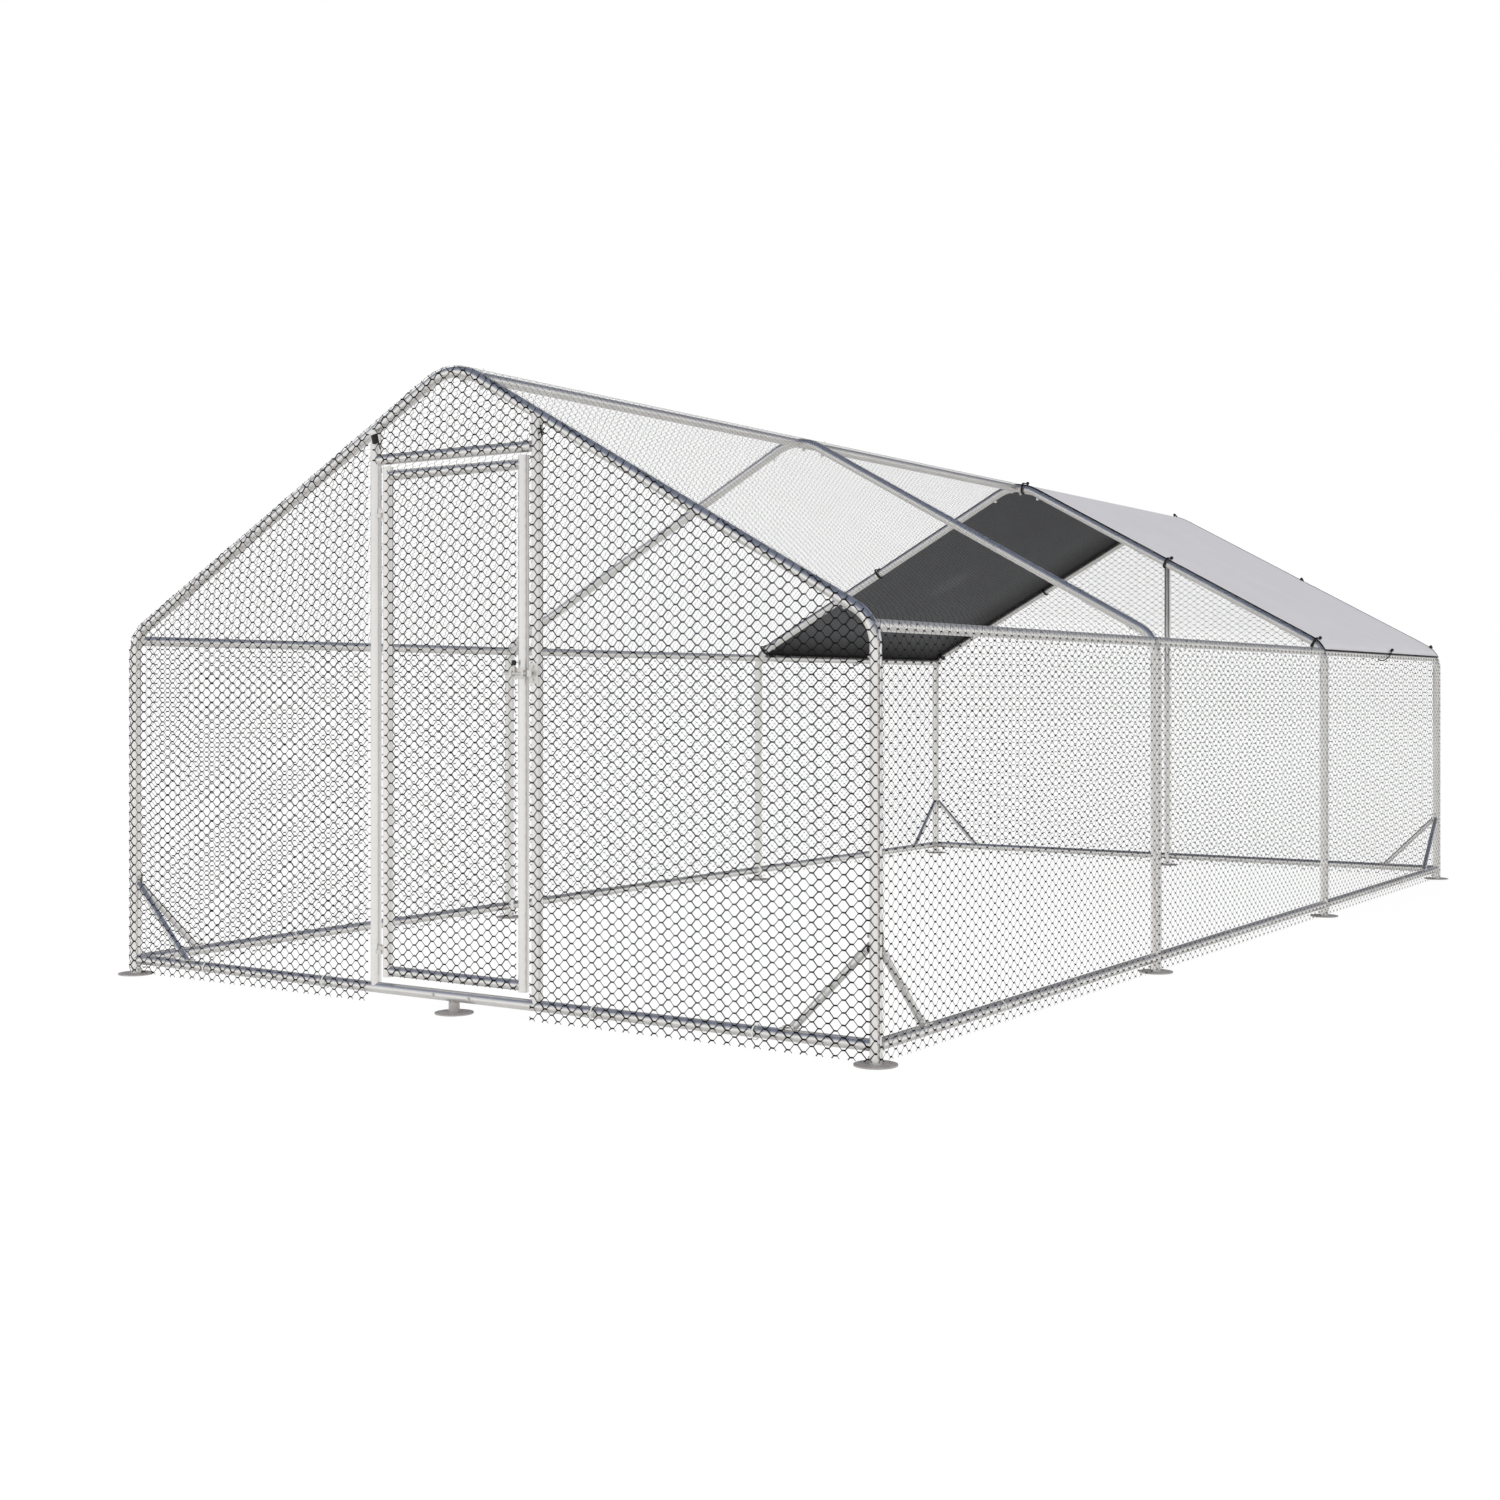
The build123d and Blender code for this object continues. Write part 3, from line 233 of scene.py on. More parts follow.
def plainCoat(name, look):
    # moulded or coated surface: one colour that drifts between two close tones, with a fine grain
    look = {**coat, **look}
    material, tree, shader = newMaterial(name, {"Specular IOR Level": look["specular"]})
    where = addNode(tree, "ShaderNodeTexCoord").outputs["Object"]
    drift = addNode(tree, "ShaderNodeTexNoise",
                    {"Scale": 1000 / look["driftMm"], "Detail": look["driftDetail"]}, {"Vector": where})
    toneAndSheen(tree, shader, drift.outputs["Fac"], look)
    fineGrain(tree, shader, where, look)
    return material


cloth = {"sheenRough": 0.4, "waver": 0.4, "waverDetail": 1.0, "weaveShare": 0.35, "cloudMm": 260.0,
         "cloudDetail": 4.0, "bump": 0.3, "bumpDepth": 0.0004}
bandLength = 2 * pi / 20  # metres after which a band pattern of scale 1 repeats


def wovenCloth(name, look):
    # plain-woven polyester with a coating: over-and-under threads as two crossed waves on the sheet's own
    # map, which is in metres; the real 0.5 mm thread is drawn at the width given so that it shows
    material, tree, shader = newMaterial(name, {"Roughness": look["rough"], "Sheen Weight": look["sheen"],
                                                "Sheen Roughness": cloth["sheenRough"]})
    flat = addNode(tree, "ShaderNodeTexCoord").outputs["UV"]
    waver = {"wave_type": "BANDS", "Scale": bandLength / (look["threadMm"] / 1000),
             "Distortion": cloth["waver"], "Detail": cloth["waverDetail"]}
    threads = []
    for way in ("X", "Y"):
        wave = addNode(tree, "ShaderNodeTexWave", {"bands_direction": way, **waver}, {"Vector": flat})
        threads.append(wave.outputs["Fac"])
    weave = addNode(tree, "ShaderNodeMath", {"operation": "MULTIPLY"}, {0: threads[0], 1: threads[1]})
    clouds = addNode(tree, "ShaderNodeTexNoise",
                     {"Scale": 1000 / cloth["cloudMm"], "Detail": cloth["cloudDetail"]}, {"Vector": flat})
    mixed = addNode(tree, "ShaderNodeMath", {"operation": "MULTIPLY_ADD", 1: cloth["weaveShare"]},
                    {0: weave.outputs[0], 2: clouds.outputs["Fac"]})
    colour = addNode(tree, "ShaderNodeMix", {"data_type": "RGBA", 6: linear(look["dark"]),
                                             7: linear(look["pale"])}, {0: mixed.outputs[0]})
    if "paintedHemShade" in look:
        # painted shade: the cloth is drawn darker toward the lower and back hems, each given as its place on
        # the map and the width it fades over
        place = addNode(tree, "ShaderNodeSeparateXYZ", None, {0: flat})
        across = addNode(tree, "ShaderNodeMath", {"operation": "ABSOLUTE"}, {0: place.outputs["X"]})
        shades = []
        for source, (edge, fade) in zip((across.outputs[0], place.outputs["Y"]), look["paintedHemShade"]):
            shade = addNode(tree, "ShaderNodeMapRange",
                            {"interpolation_type": "SMOOTHSTEP", "From Min": edge - fade, "From Max": edge},
                            {"Value": source})
            shades.append(shade.outputs[0])
        most = addNode(tree, "ShaderNodeMath", {"operation": "MAXIMUM"}, {0: shades[0], 1: shades[1]})
        colour = addNode(tree, "ShaderNodeMix", {"data_type": "RGBA", 7: linear(look["paintedHemShadeColour"])},
                         {0: most.outputs[0], 6: colour.outputs[2]})
    tree.links.new(colour.outputs[2], shader.inputs["Base Color"])
    bump = addNode(tree, "ShaderNodeBump", {"Strength": cloth["bump"], "Distance": cloth["bumpDepth"]},
                   {"Height": weave.outputs[0]})
    tree.links.new(bump.outputs[0], shader.inputs["Normal"])
    return material


finishes = {
    "galvanised_tube": galvanisedSteel("galvanisedTubeDipped", {
        "pale": "#f6f4f0", "dark": "#e8e6e3", "metallic": 0.85, "rough": (0.26, 0.34),
        "crystalMm": 11.0, "cloudMm": 140.0, "crystalShare": 0.25}),
    "foot_steel": galvanisedSteel("footSteelPressed", {
        "pale": "#c9c4c1", "dark": "#aba6a4", "metallic": 0.4, "rough": (0.42, 0.6),
        "crystalMm": 8.0, "cloudMm": 60.0, "crystalShare": 0.35}),
    "zinc_hardware": galvanisedSteel("zincHardwarePlated", {
        "pale": "#e6e3de", "dark": "#cfccc8", "metallic": 0.4, "rough": (0.28, 0.4),
        "crystalMm": 3.0, "cloudMm": 25.0, "crystalShare": 0.2}),
    "knob_plastic": plainCoat("knobPlasticMoulded", {
        "pale": "#242427", "dark": "#161618", "driftMm": 20.0, "grainMm": 1.2, "rough": (0.35, 0.5)}),
}
wireCoat = plainCoat("netWireCoated", {
    "pale": "#18181a", "dark": "#0e0e0f", "driftMm": 90.0, "grainMm": 2.0, "rough": (0.6, 0.75),
    "specular": 0.2})
clipNylon = plainCoat("clipNylonMoulded", {
    "pale": "#f4f4f1", "dark": "#e8e8e5", "driftMm": 15.0, "grainMm": 1.0, "rough": (0.4, 0.5)})
cordRubber = plainCoat("tieCordBraided", {
    "pale": "#1c1c1e", "dark": "#101011", "driftMm": 6.0, "grainMm": 1.5, "rough": (0.55, 0.7)})
ballPlastic = plainCoat("tieBallMoulded", {
    "pale": "#1a1a1c", "dark": "#0f0f10", "driftMm": 10.0, "grainMm": 1.0, "rough": (0.3, 0.42)})
hemTape = plainCoat("hemTapeWoven", {
    "pale": "#1c1c1e", "dark": "#101012", "driftMm": 5.0, "grainMm": 1.6, "rough": (0.65, 0.8)})
coverTop = wovenCloth("coverClothSilver", {
    "pale": "#dddbdf", "dark": "#d2d0d4", "rough": 0.5, "sheen": 0.08, "threadMm": 31.43})
# the underside carries painted shade, darker toward its lower and back hems
coverUnder = wovenCloth("coverClothBlack", {
    "pale": "#606163", "dark": "#555658", "rough": 0.7, "sheen": 0.05, "threadMm": 31.43,
    "paintedHemShade": ((1.70, 0.3), (3.017, 0.5)), "paintedHemShadeColour": "#262627"})

for node in frame["nodes"].values():
    for part in node.material_slots:
        plain = part.material.name.split(".")[0]
        if plain in finishes:
            part.material = finishes[plain]
print("materials ready")


# netting

# hexagonal netting of 50 x 34 mm cells with 10 mm twists; the real 1 mm wire is drawn wider, and flat in the
# net's own plane, so that it shows from a distance; a gauge is the half widths of the slanting wires, which
# come by turns from one column to the next, and that of the twists
netting = {"columnPitch": 0.0252, "rowPitch": 0.0336, "twist": 0.0100, "flat": 0.22, "jitter": 0.0006,
           "spareCells": 2, "shortest": 0.0015, "edgeWire": 0.0011, "edgeSwing": 0.0026, "swingSpread": 0.4,
           "offset": 0.0182, "doorOffset": 0.0172, "bulge": 0.003, "waves": (7.3, 5.1),
           "endBulge": 0.0012, "endWaves": 6.1}
gauges = {"near": (0.0020, 0.0013, 0.0027), "side": (0.0012, 0.0010, 0.0029),
          "far": (0.0008, 0.0006, 0.0022), "roof": (0.0007, 0.0007, 0.0014)}
# where the nets end, in metres from the ground, the frames' axes, the gable's line and the door's latch side
netEdges = {"bottom": 0.009, "bay": 0.001, "bayStrand": 0.007, "wrap": 0.015, "wrapStrand": 0.011,
            "gable": 0.0165, "gableFacets": (7, 6), "top": 0.002, "latchSide": 0.031}
netSeeds = {"wall": 11, "roof": 31}
spread = {"column": 12.9898, "row": 78.233, "seed": 37.719, "multiple": 43758.5453}


def scatter(column, row, seed):
    # a repeatable spread of -1 to 1 from two whole numbers: the fraction of a large multiple of a sine
    angle = column * spread["column"] + row * spread["row"] + seed * spread["seed"]
    value = np.sin(angle) * spread["multiple"]
    return 2 * (value - np.floor(value)) - 1


def hexWires(low, high, gauge, seed):
    # lattice over the box low to high: every twist is a short level piece, and from its right end two
    # slanting wires go to the twists half a row up and half a row down in the next column
    a, b, t = netting["columnPitch"], netting["rowPitch"], netting["twist"]
    first = np.floor(np.array(low) / (a, b)).astype(int) - netting["spareCells"]
    last = np.ceil(np.array(high) / (a, b)).astype(int) + netting["spareCells"]
    columns, rows = (np.arange(first[k], last[k] + 1) for k in (0, 1))
    column, row = np.meshgrid(columns, rows, indexing="ij")

    def twistEnds(i, j):
        shift = np.where(i % 2 == 0, 0.0, 0.5)
        u = i * a + netting["jitter"] * scatter(i, j, seed)
        v = (j + shift) * b + netting["jitter"] * scatter(i, j, seed + 1)
        lean = 0.5 * netting["jitter"] * scatter(i, j, seed + 2)
        left = np.stack((u - t / 2, v - lean), axis=-1)
        right = np.stack((u + t / 2, v + lean), axis=-1)
        return left, right

    left, right = twistEnds(column, row)
    upRow = np.where(column % 2 == 0, row, row + 1)
    upLeft = twistEnds(column + 1, upRow)[0]
    downLeft = twistEnds(column + 1, upRow - 1)[0]
    start = np.concatenate([p.reshape(-1, 2) for p in (left, right, right)])
    end = np.concatenate([p.reshape(-1, 2) for p in (right, upLeft, downLeft)])
    wide, narrow, twist = gauges[gauge]
    slant = np.where(column % 2 == 0, wide, narrow).ravel()
    radius = np.concatenate((np.full(len(slant), twist), slant, slant))
    return start, end, radius


def clipped(start, end, radius, sides):
    # keeps the part of each piece that is inside every half plane n . p <= d, if it isn't too short
    enter = np.zeros(len(start))
    leave = np.ones(len(start))
    way = end - start
    for nu, nv, d in sides:
        room = d - start @ (nu, nv)
        rate = way @ (nu, nv)
        with np.errstate(divide="ignore", invalid="ignore"):
            cut = room / rate
        leave = np.where(rate > tiny, np.minimum(leave, cut), leave)
        enter = np.where(rate < -tiny, np.maximum(enter, cut), enter)
        leave = np.where((np.abs(rate) <= tiny) & (room < 0), -1.0, leave)
    inside = (leave - enter) * np.linalg.norm(way, axis=1) > netting["shortest"]
    return (start + enter[:, None] * way)[inside], (start + leave[:, None] * way)[inside], radius[inside]


def boxSides(low, high):
    # the four half planes of a box
    return [(1, 0, high[0]), (-1, 0, -low[0]), (0, 1, high[1]), (0, -1, -low[1])]


def gableSides(overlap):
    # half planes that touch the portal's bent outline from outside, moved out by overlap, on both slopes
    bends = ((eaveCentre, portal["eaveRadius"], 0, eaveTurn),
             (ridgeCentre, portal["ridgeRadius"], eaveTurn, pi / 2))
    sides = []
    for (centre, radius, first, last), facets in zip(bends, netEdges["gableFacets"]):
        for angle in np.linspace(first, last, facets):
            n = np.array((np.cos(angle), np.sin(angle)))
            sides.append((n[0], n[1], n @ centre + radius + overlap))
    return sides + [(-nu, nv, d) for nu, nv, d in sides]


def makeNet(name, node, body, start, end, radius, place):
    # place lays a flat point in the coop and gives the net's normal there; each wire is a closed three-sided
    # bar: a low triangle about both ends, one corner along the normal
    rings = [place(start), place(end)]
    way = unit(rings[1][0] - rings[0][0])
    angle = np.radians((90, 210, 330))
    points = []
    for centre, normal in rings:
        side = unit(np.cross(way, normal))
        out = np.cross(side, way)
        points.append(centre[:, None, :] + radius[:, None, None] * (
            netting["flat"] * np.sin(angle)[None, :, None] * out[:, None, :]
            - np.cos(angle)[None, :, None] * side[:, None, :]))
    # three long faces, then the two ends
    pattern = np.array((0, 1, 4, 3, 1, 2, 5, 4, 2, 0, 3, 5, 2, 1, 0, 3, 4, 5))
    corners = (np.arange(len(start))[:, None] * 2 * len(angle) + pattern).ravel()
    counts = np.tile((4, 4, 4, 3, 3), len(start))
    piece = newMesh(name, np.concatenate(points, axis=1).reshape(-1, 3), corners, counts, [wireCoat])
    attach(piece, body)
    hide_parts(node)


def edgeStrand(y, rise, seed):
    # the net's edge: a line up the portal in short pieces that swing to one side and the other by turns
    up = np.arange(rise[0], rise[1], netting["rowPitch"] / 2)
    count = np.arange(len(up))
    uneven = 1 + netting["swingSpread"] * scatter(count, 0, seed)
    line = np.stack((y + netting["edgeSwing"] * np.where(count % 2 == 0, 1, -1) * uneven, up), -1)
    return line[:-1], line[1:]


def sideNet(name, node, side, span, rise, strands, gauge, seed):
    # one bay of a wall or a roof slope: the lattice lies on y along the coop and the length up the portal,
    # with its twists along the coop on a wall and up the slope on a roof; between the tubes it sinks in,
    # more or less in waves
    low, high = (span[0], rise[0]), (span[1], rise[1])
    turned = -1 if gauge == "roof" else 1
    start, end, radius = hexWires(low[::turned], high[::turned], gauge, seed)
    start, end, radius = clipped(start[:, ::turned], end[:, ::turned], radius, boxSides(low, high))
    edges = [edgeStrand(y, rise, seed + k) for k, y in enumerate(strands)]
    start = np.concatenate([start] + [e[0] for e in edges])
    end = np.concatenate([end] + [e[1] for e in edges])
    radius = np.concatenate([radius] + [np.full(len(e[0]), netting["edgeWire"]) for e in edges])

    def place(points):
        y, length = points[:, 0], points[:, 1]
        along = np.clip((y - span[0]) / (span[1] - span[0]), 0, 1)
        up = np.clip((length - slopeStart) / slopeLength, 0, 1)
        wall = np.clip(length / postTop, 0, 1)
        slack = np.sin(pi * along) * np.maximum(np.sin(pi * up), np.sin(pi * wall) * (length < postTop))
        waves = np.sin(netting["waves"][0] * y + seed) * np.sin(netting["waves"][1] * length + 2 * seed)
        sink = netting["bulge"] * slack * (0.5 + 0.5 * waves)
        x, z, nx, nz = alongPortal(length, netting["offset"] - sink)
        return np.stack((side * x, y, z), -1), np.stack((side * nx, np.zeros_like(nx), nz), -1)

    makeNet(name, node, "frame", start, end, radius, place)


def endNet(name, node, body, y, facing, low, high, cutGable, seed):
    # a flat net in the front or back: the lattice lies on x and z, cut to the box and to the gable's
    # outline, and bows out a little, more or less in waves
    sides = boxSides(low, high)
    if cutGable:
        sides += gableSides(netEdges["gable"])
    start, end, radius = clipped(*hexWires(low, high, "near" if facing < 0 else "far", seed), sides)

    def place(points):
        x, z = points[:, 0], points[:, 1]
        u = np.clip((x - low[0]) / (high[0] - low[0]), 0, 1)
        v = np.clip((z - low[1]) / (high[1] - low[1]), 0, 1)
        waves = 0.5 + 0.5 * np.sin(netting["endWaves"] * x + seed)
        bow = facing * netting["endBulge"] * np.sin(pi * u) * np.sin(pi * v) * waves
        return np.stack((x, y + bow, z), -1), np.tile((0.0, facing, 0.0), (len(points), 1))

    makeNet(name, node, body, start, end, radius, place)


for sideName, side in (("left", -1), ("right", 1)):
    for k, (near, far) in enumerate(zip(frames[:-1], frames[1:])):
        span = [near + netEdges["bay"], far - netEdges["bay"]]
        strands = [near + netEdges["bayStrand"], far - netEdges["bayStrand"]]
        if near == frames[0]:
            span[0] = near - netEdges["wrap"]
            strands += [near - netEdges["wrapStrand"]]
        if far == frames[-1]:
            span[1] = far + netEdges["wrap"]
            strands += [far + netEdges["wrapStrand"]]
        wallGauge = "side" if side > 0 else "far"
        sideNet(f"{sideName}WallNetting{k + 1}", f"{sideName}_wall_nets", side, span,
                (netEdges["bottom"], railLength), strands, wallGauge, netSeeds["wall"] + k + side)
        sideNet(f"{sideName}RoofNetting{k + 1}", f"{sideName}_roof_nets", side, span,
                (railLength, portalLength - netEdges["bay"]), strands, "roof", netSeeds["roof"] + k + side)
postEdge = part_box("left_door_post")[0].x
for name, node, facing, seed in (("frontLeftNetting", "front_left_net", -1, 51),
                                 ("frontRightNetting", "front_right_net", -1, 52),
                                 ("frontGableNetting", "front_gable_net", -1, 53),
                                 ("backLeftNetting", "back_left_net", 1, 54),
                                 ("backRightNetting", "back_right_net", 1, 55)):
    low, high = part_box(node)
    bottom = low.z if name == "frontGableNetting" else netEdges["bottom"]
    inner = postEdge if name == "frontLeftNetting" else high.x
    endNet(name, node, "frame", facing * (frames[-1] + netting["offset"]), facing, (low.x, bottom),
           (inner, high.z + netEdges["top"]), True, seed)
low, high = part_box("door_net")
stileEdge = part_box("door_latch_stile")[1].x - netEdges["latchSide"]
endNet("doorNetting", "door_net", "door", frames[0] - netting["doorOffset"], -1, (low.x, low.z),
       (stileEdge, high.z), False, 56)
print("netting ready")


# roof cover

# across and along count the points of the sheet's grid
cover = {"offset": 0.0206, "front": 0.998, "back": 3.017, "edgeAngle": radians(25), "thickness": 0.0012,
         "across": 141, "along": 61, "sag": 0.0018, "sagWaves": (3.1, 2.0), "sagSpread": 0.3,
         "pull": 0.0011, "pullReach": 0.09, "pullWave": 0.016}
hem = {"low": 0.0042, "ends": 0.0028, "thick": 0.0024, "inset": 0.002, "steps": (180, 80, 180, 80)}
# the ties' eyelets: a lower one on the eave bend, one up the slope, and on the right one by the ridge
tieRows = (1.028, 2.987)
eyelets = {"Low": eaveLength(radians(51)), "Slope": slopeStart + 0.765,
           "Ridge": ridgeStart + portal["ridgeRadius"] * (radians(78) - eaveTurn)}
coverHalf = portalLength - eaveLength(cover["edgeAngle"])


def coverPoint(across, y):
    # the sheet follows the portal line just outside the nets; across runs from the left edge to the right
    # one; it sinks a little between the frames and is drawn into rings round each tie
    length = portalLength - np.abs(across)
    up = np.clip((length - slopeStart) / slopeLength, 0, 1)
    along = np.clip((y - frames[2]) / (frames[3] - frames[2]), 0, 1)
    waves = np.sin(cover["sagWaves"][0] * across + cover["sagWaves"][1] * y)
    uneven = 1 - cover["sagSpread"] + cover["sagSpread"] * waves
    offset = cover["offset"] - cover["sag"] * np.sin(pi * along) * np.sin(pi * up) * uneven
    for row in tieRows:
        for eyelet in eyelets.values():
            far = np.hypot(length - eyelet, y - row)
            fall = np.exp(-(far / cover["pullReach"]) ** 2)
            offset = offset + cover["pull"] * fall * np.cos(far / cover["pullWave"])
    x, z, nx, nz = alongPortal(length, offset)
    side = np.where(across < 0, -1.0, 1.0)
    return np.stack((side * x, y, z), -1), np.stack((side * nx, np.zeros_like(nx), nz), -1)


def makeCover():
    # a grid of across and y on the sheet, which is also its map, with its thickness inward
    across = np.linspace(-coverHalf, coverHalf, cover["across"])
    y = np.linspace(cover["front"], cover["back"], cover["along"])
    a, b = (v.ravel() for v in np.meshgrid(across, y, indexing="ij"))
    r, c = np.meshgrid(np.arange(cover["across"] - 1), np.arange(cover["along"] - 1), indexing="ij")
    first = (r * cover["along"] + c).ravel()
    faces = np.stack((first, first + cover["along"], first + cover["along"] + 1, first + 1), -1)
    piece = newMesh("roofCoverSheet", coverPoint(a, b)[0], faces.ravel(), np.full(len(faces), 4),
                    [coverTop, coverUnder], True)
    flat = piece.data.uv_layers.new(name="flat")
    corner = np.empty(len(piece.data.loops), dtype=np.int32)
    piece.data.loops.foreach_get("vertex_index", corner)
    flat.data.foreach_set("uv", np.stack((a, b), -1)[corner].astype(np.float32).ravel())
    wall = piece.modifiers.new("thickness", "SOLIDIFY")
    wall.thickness = cover["thickness"]
    wall.offset = -1
    wall.material_offset = 1
    wall.material_offset_rim = 1
    return piece


def sweep(name, path, out, halfWidth, halfThick, materials, closed, sides=10):
    # an oval section carried along a path; out is the direction of its thickness at each point
    after = np.roll(path, -1, axis=0)
    before = np.roll(path, 1, axis=0)
    if not closed:
        after[-1], before[0] = path[-1], path[0]
    way = unit(after - before)
    out = unit(out - way * np.sum(out * way, axis=1, keepdims=True))
    side = np.cross(way, out)
    turn = np.linspace(0, 2 * pi, sides, endpoint=False)
    halfWidth = np.reshape(halfWidth * np.ones(len(path)), (-1, 1, 1))
    ring = (path[:, None, :] + halfThick * np.cos(turn)[None, :, None] * out[:, None, :]
            + halfWidth * np.sin(turn)[None, :, None] * -side[:, None, :])
    count = len(path)
    i, k = np.meshgrid(np.arange(count if closed else count - 1), np.arange(sides), indexing="ij")
    j = (i + 1) % count
    m = (k + 1) % sides
    quads = np.stack((i * sides + k, i * sides + m, j * sides + m, j * sides + k), -1).reshape(-1, 4)
    corners, counts = quads.ravel(), np.full(len(quads), 4)
    if not closed:
        first = np.arange(sides)[::-1]
        corners = np.concatenate((corners, first, (count - 1) * sides + np.arange(sides)))
        counts = np.concatenate((counts, [sides, sides]))
    return newMesh(name, ring.reshape(-1, 3), corners, counts, materials, True)


def makeHem():
    # tape folded over the sheet's whole edge: the sheet's four sides in turn, as one closed path, narrower
    # on the front and back
    half = coverHalf - hem["inset"]
    front, back = cover["front"] + hem["inset"], cover["back"] - hem["inset"]
    turns = ((-half, front), (half, front), (half, back), (-half, back), (-half, front))
    sides = [np.linspace(first, last, steps, endpoint=False)
             for first, last, steps in zip(turns[:-1], turns[1:], hem["steps"])]
    points, normal = coverPoint(*np.concatenate(sides).T)
    width = np.repeat((hem["ends"], hem["low"], hem["ends"], hem["low"]), hem["steps"])
    middle = points - cover["thickness"] / 2 * normal
    return sweep("roofCoverHem", middle, normal, width, hem["thick"], [hemTape], True)


coverSheet = makeCover()
coverHem = makeHem()
for piece in (coverSheet, coverHem):
    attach(piece, "frame")
    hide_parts("roof_cover")
print("cover ready")


# ball ties

# the loop is given across the tube: how far it is in under the cover, and how far out, both from the axis
tie = {"cord": 0.0027, "pair": 0.0052, "lift": 0.0295, "steps": 6, "sides": 8,
       "loop": ((0.014, 0.0274), (-0.004, 0.0268), (-0.0165, 0.0268), (-0.024, 0.0205), (-0.025, 0.004),
                (-0.0175, -0.0155), (0.0, -0.0225), (0.0165, -0.0155), (0.0235, 0.002)),
       "close": (0.001, 0.017), "lean": 0.06, "leanFrom": 0.03}
# the tie in each lower edge: over the hem, under the eave tube at these angles, and back to its eyelet
edgeTie = {"length": eaveLength(radians(33)), "y": 2.103, "slant": 0.115, "slantOver": 0.045,
           "overHem": (-0.008, 0.0275), "tubeAngles": (5, -40, -90, -140, 170, 120), "tubeRing": 0.0265,
           "close": (-0.002, 0.012)}
ball = {"radius": 0.008, "rows": 13, "sides": 16, "collar": 0.06, "collarWaves": 6,
        "seam": (0.31, 0.87, 0.11)}


def smoothLoop(points, steps):
    # closed Catmull-Rom curve through the points
    p0, p1, p2, p3 = (np.roll(points, shift, axis=0)[:, None, :] for shift in (1, 0, -1, -2))
    t = np.linspace(0, 1, steps, endpoint=False)[None, :, None]
    curve = 0.5 * (2 * p1 + (p2 - p0) * t + (2 * p0 - 5 * p1 + 4 * p2 - p3) * t ** 2
                   + (3 * p1 - p0 - 3 * p2 + p3) * t ** 3)
    return curve.reshape(-1, 3)


def ballMesh(name, centre, up, radius, materials):
    # a moulded ball with a small collar: a half-circle profile that swells in waves, turned about up
    rows, sides = ball["rows"] - 2, ball["sides"]
    angle = np.linspace(-pi / 2, pi / 2, ball["rows"])
    reach = radius * np.cos(angle) * (1 + ball["collar"] * np.cos(ball["collarWaves"] * angle))
    rise = radius * np.sin(angle)
    up = unit(np.asarray(up, dtype=float))
    side = unit(np.cross(up, ball["seam"]))
    front = np.cross(up, side)
    turn = np.linspace(0, 2 * pi, sides, endpoint=False)
    body = (centre + rise[1:-1, None, None] * up + reach[1:-1, None, None]
            * (np.cos(turn)[None, :, None] * side + np.sin(turn)[None, :, None] * front))
    points = np.concatenate((body.reshape(-1, 3), [centre + rise[0] * up], [centre + rise[-1] * up]))
    r, k = np.meshgrid(np.arange(rows - 1), np.arange(sides), indexing="ij")
    m = (k + 1) % sides
    quads = np.stack((r * sides + k, r * sides + m, (r + 1) * sides + m, (r + 1) * sides + k), -1)
    ring = np.arange(sides)
    after = (ring + 1) % sides
    top = (rows - 1) * sides
    low = np.stack((np.full(sides, rows * sides), after, ring), -1)
    high = np.stack((np.full(sides, rows * sides + 1), top + ring, top + after), -1)
    corners = np.concatenate((quads.ravel(), low.ravel(), high.ravel()))
    counts = np.concatenate((np.full(quads.size // 4, 4), np.full(2 * sides, 3)))
    return newMesh(name, points, corners, counts, materials, True)


def makeTie(name, points, width, ballUp):
    # a closed cord through the points, and the ball that it hangs from at the first of them
    path = smoothLoop(points, tie["steps"])
    outward = path - path.mean(axis=0)
    cord = sweep(f"{name}Cord", path, outward, width, tie["cord"], [cordRubber], True, tie["sides"])
    knob = ballMesh(f"{name}Ball", points[0], ballUp, ball["radius"], [ballPlastic])
    for piece, slot in ((cord, "tie_rubber"), (knob, "tie_plastic")):
        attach(piece, "frame")
        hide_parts("cover_ties")


for sideName, side in (("left", -1), ("right", 1)):
    for row, frameY, inward in ((tieRows[0], frames[2], 1), (tieRows[1], frames[3], -1)):
        rowName = "Front" if inward > 0 else "Back"
        for k, (spot, length) in enumerate(eyelets.items()):
            if spot == "Ridge" and side < 0:
                continue
            centre, normal, upWay = portalPlace(length, side)
            reach = abs(row - frameY)
            loop = np.array([(reach, tie["lift"]), *tie["loop"], (reach - tie["close"][0], tie["close"][1])])
            lean = tie["lean"] * (k - 1) * (tie["leanFrom"] - loop[:, 1:])
            points = (centre + loop[:, :1] * np.array((0, inward, 0)) + np.array((0, frameY, 0))
                      + loop[:, 1:] * normal + lean * upWay)
            makeTie(f"{sideName}{rowName}{spot}Tie", points, tie["pair"], normal)
    # the cord of the tie in the lower edge slants forward on its way to the eave tube
    eyelet, normal, upWay = portalPlace(edgeTie["length"], side)
    rail = portalPlace(railLength, side)[0]
    turn = portal["eaveRail"] + np.radians(edgeTie["tubeAngles"])
    under = rail + edgeTie["tubeRing"] * np.stack((side * np.cos(turn), 0 * turn, np.sin(turn)), -1)
    over, close = (eyelet + up * upWay + out * normal for up, out in (edgeTie["overHem"], edgeTie["close"]))
    points = np.array([eyelet + tie["lift"] * normal, over, *under, close])
    down = np.clip((points[0, 2] - points[:, 2]) / edgeTie["slantOver"], 0, 1)
    points[:, 1] = edgeTie["y"] - edgeTie["slant"] * down
    makeTie(f"{sideName}EdgeTie", points, tie["cord"], normal)
print("ties ready")


# net clips

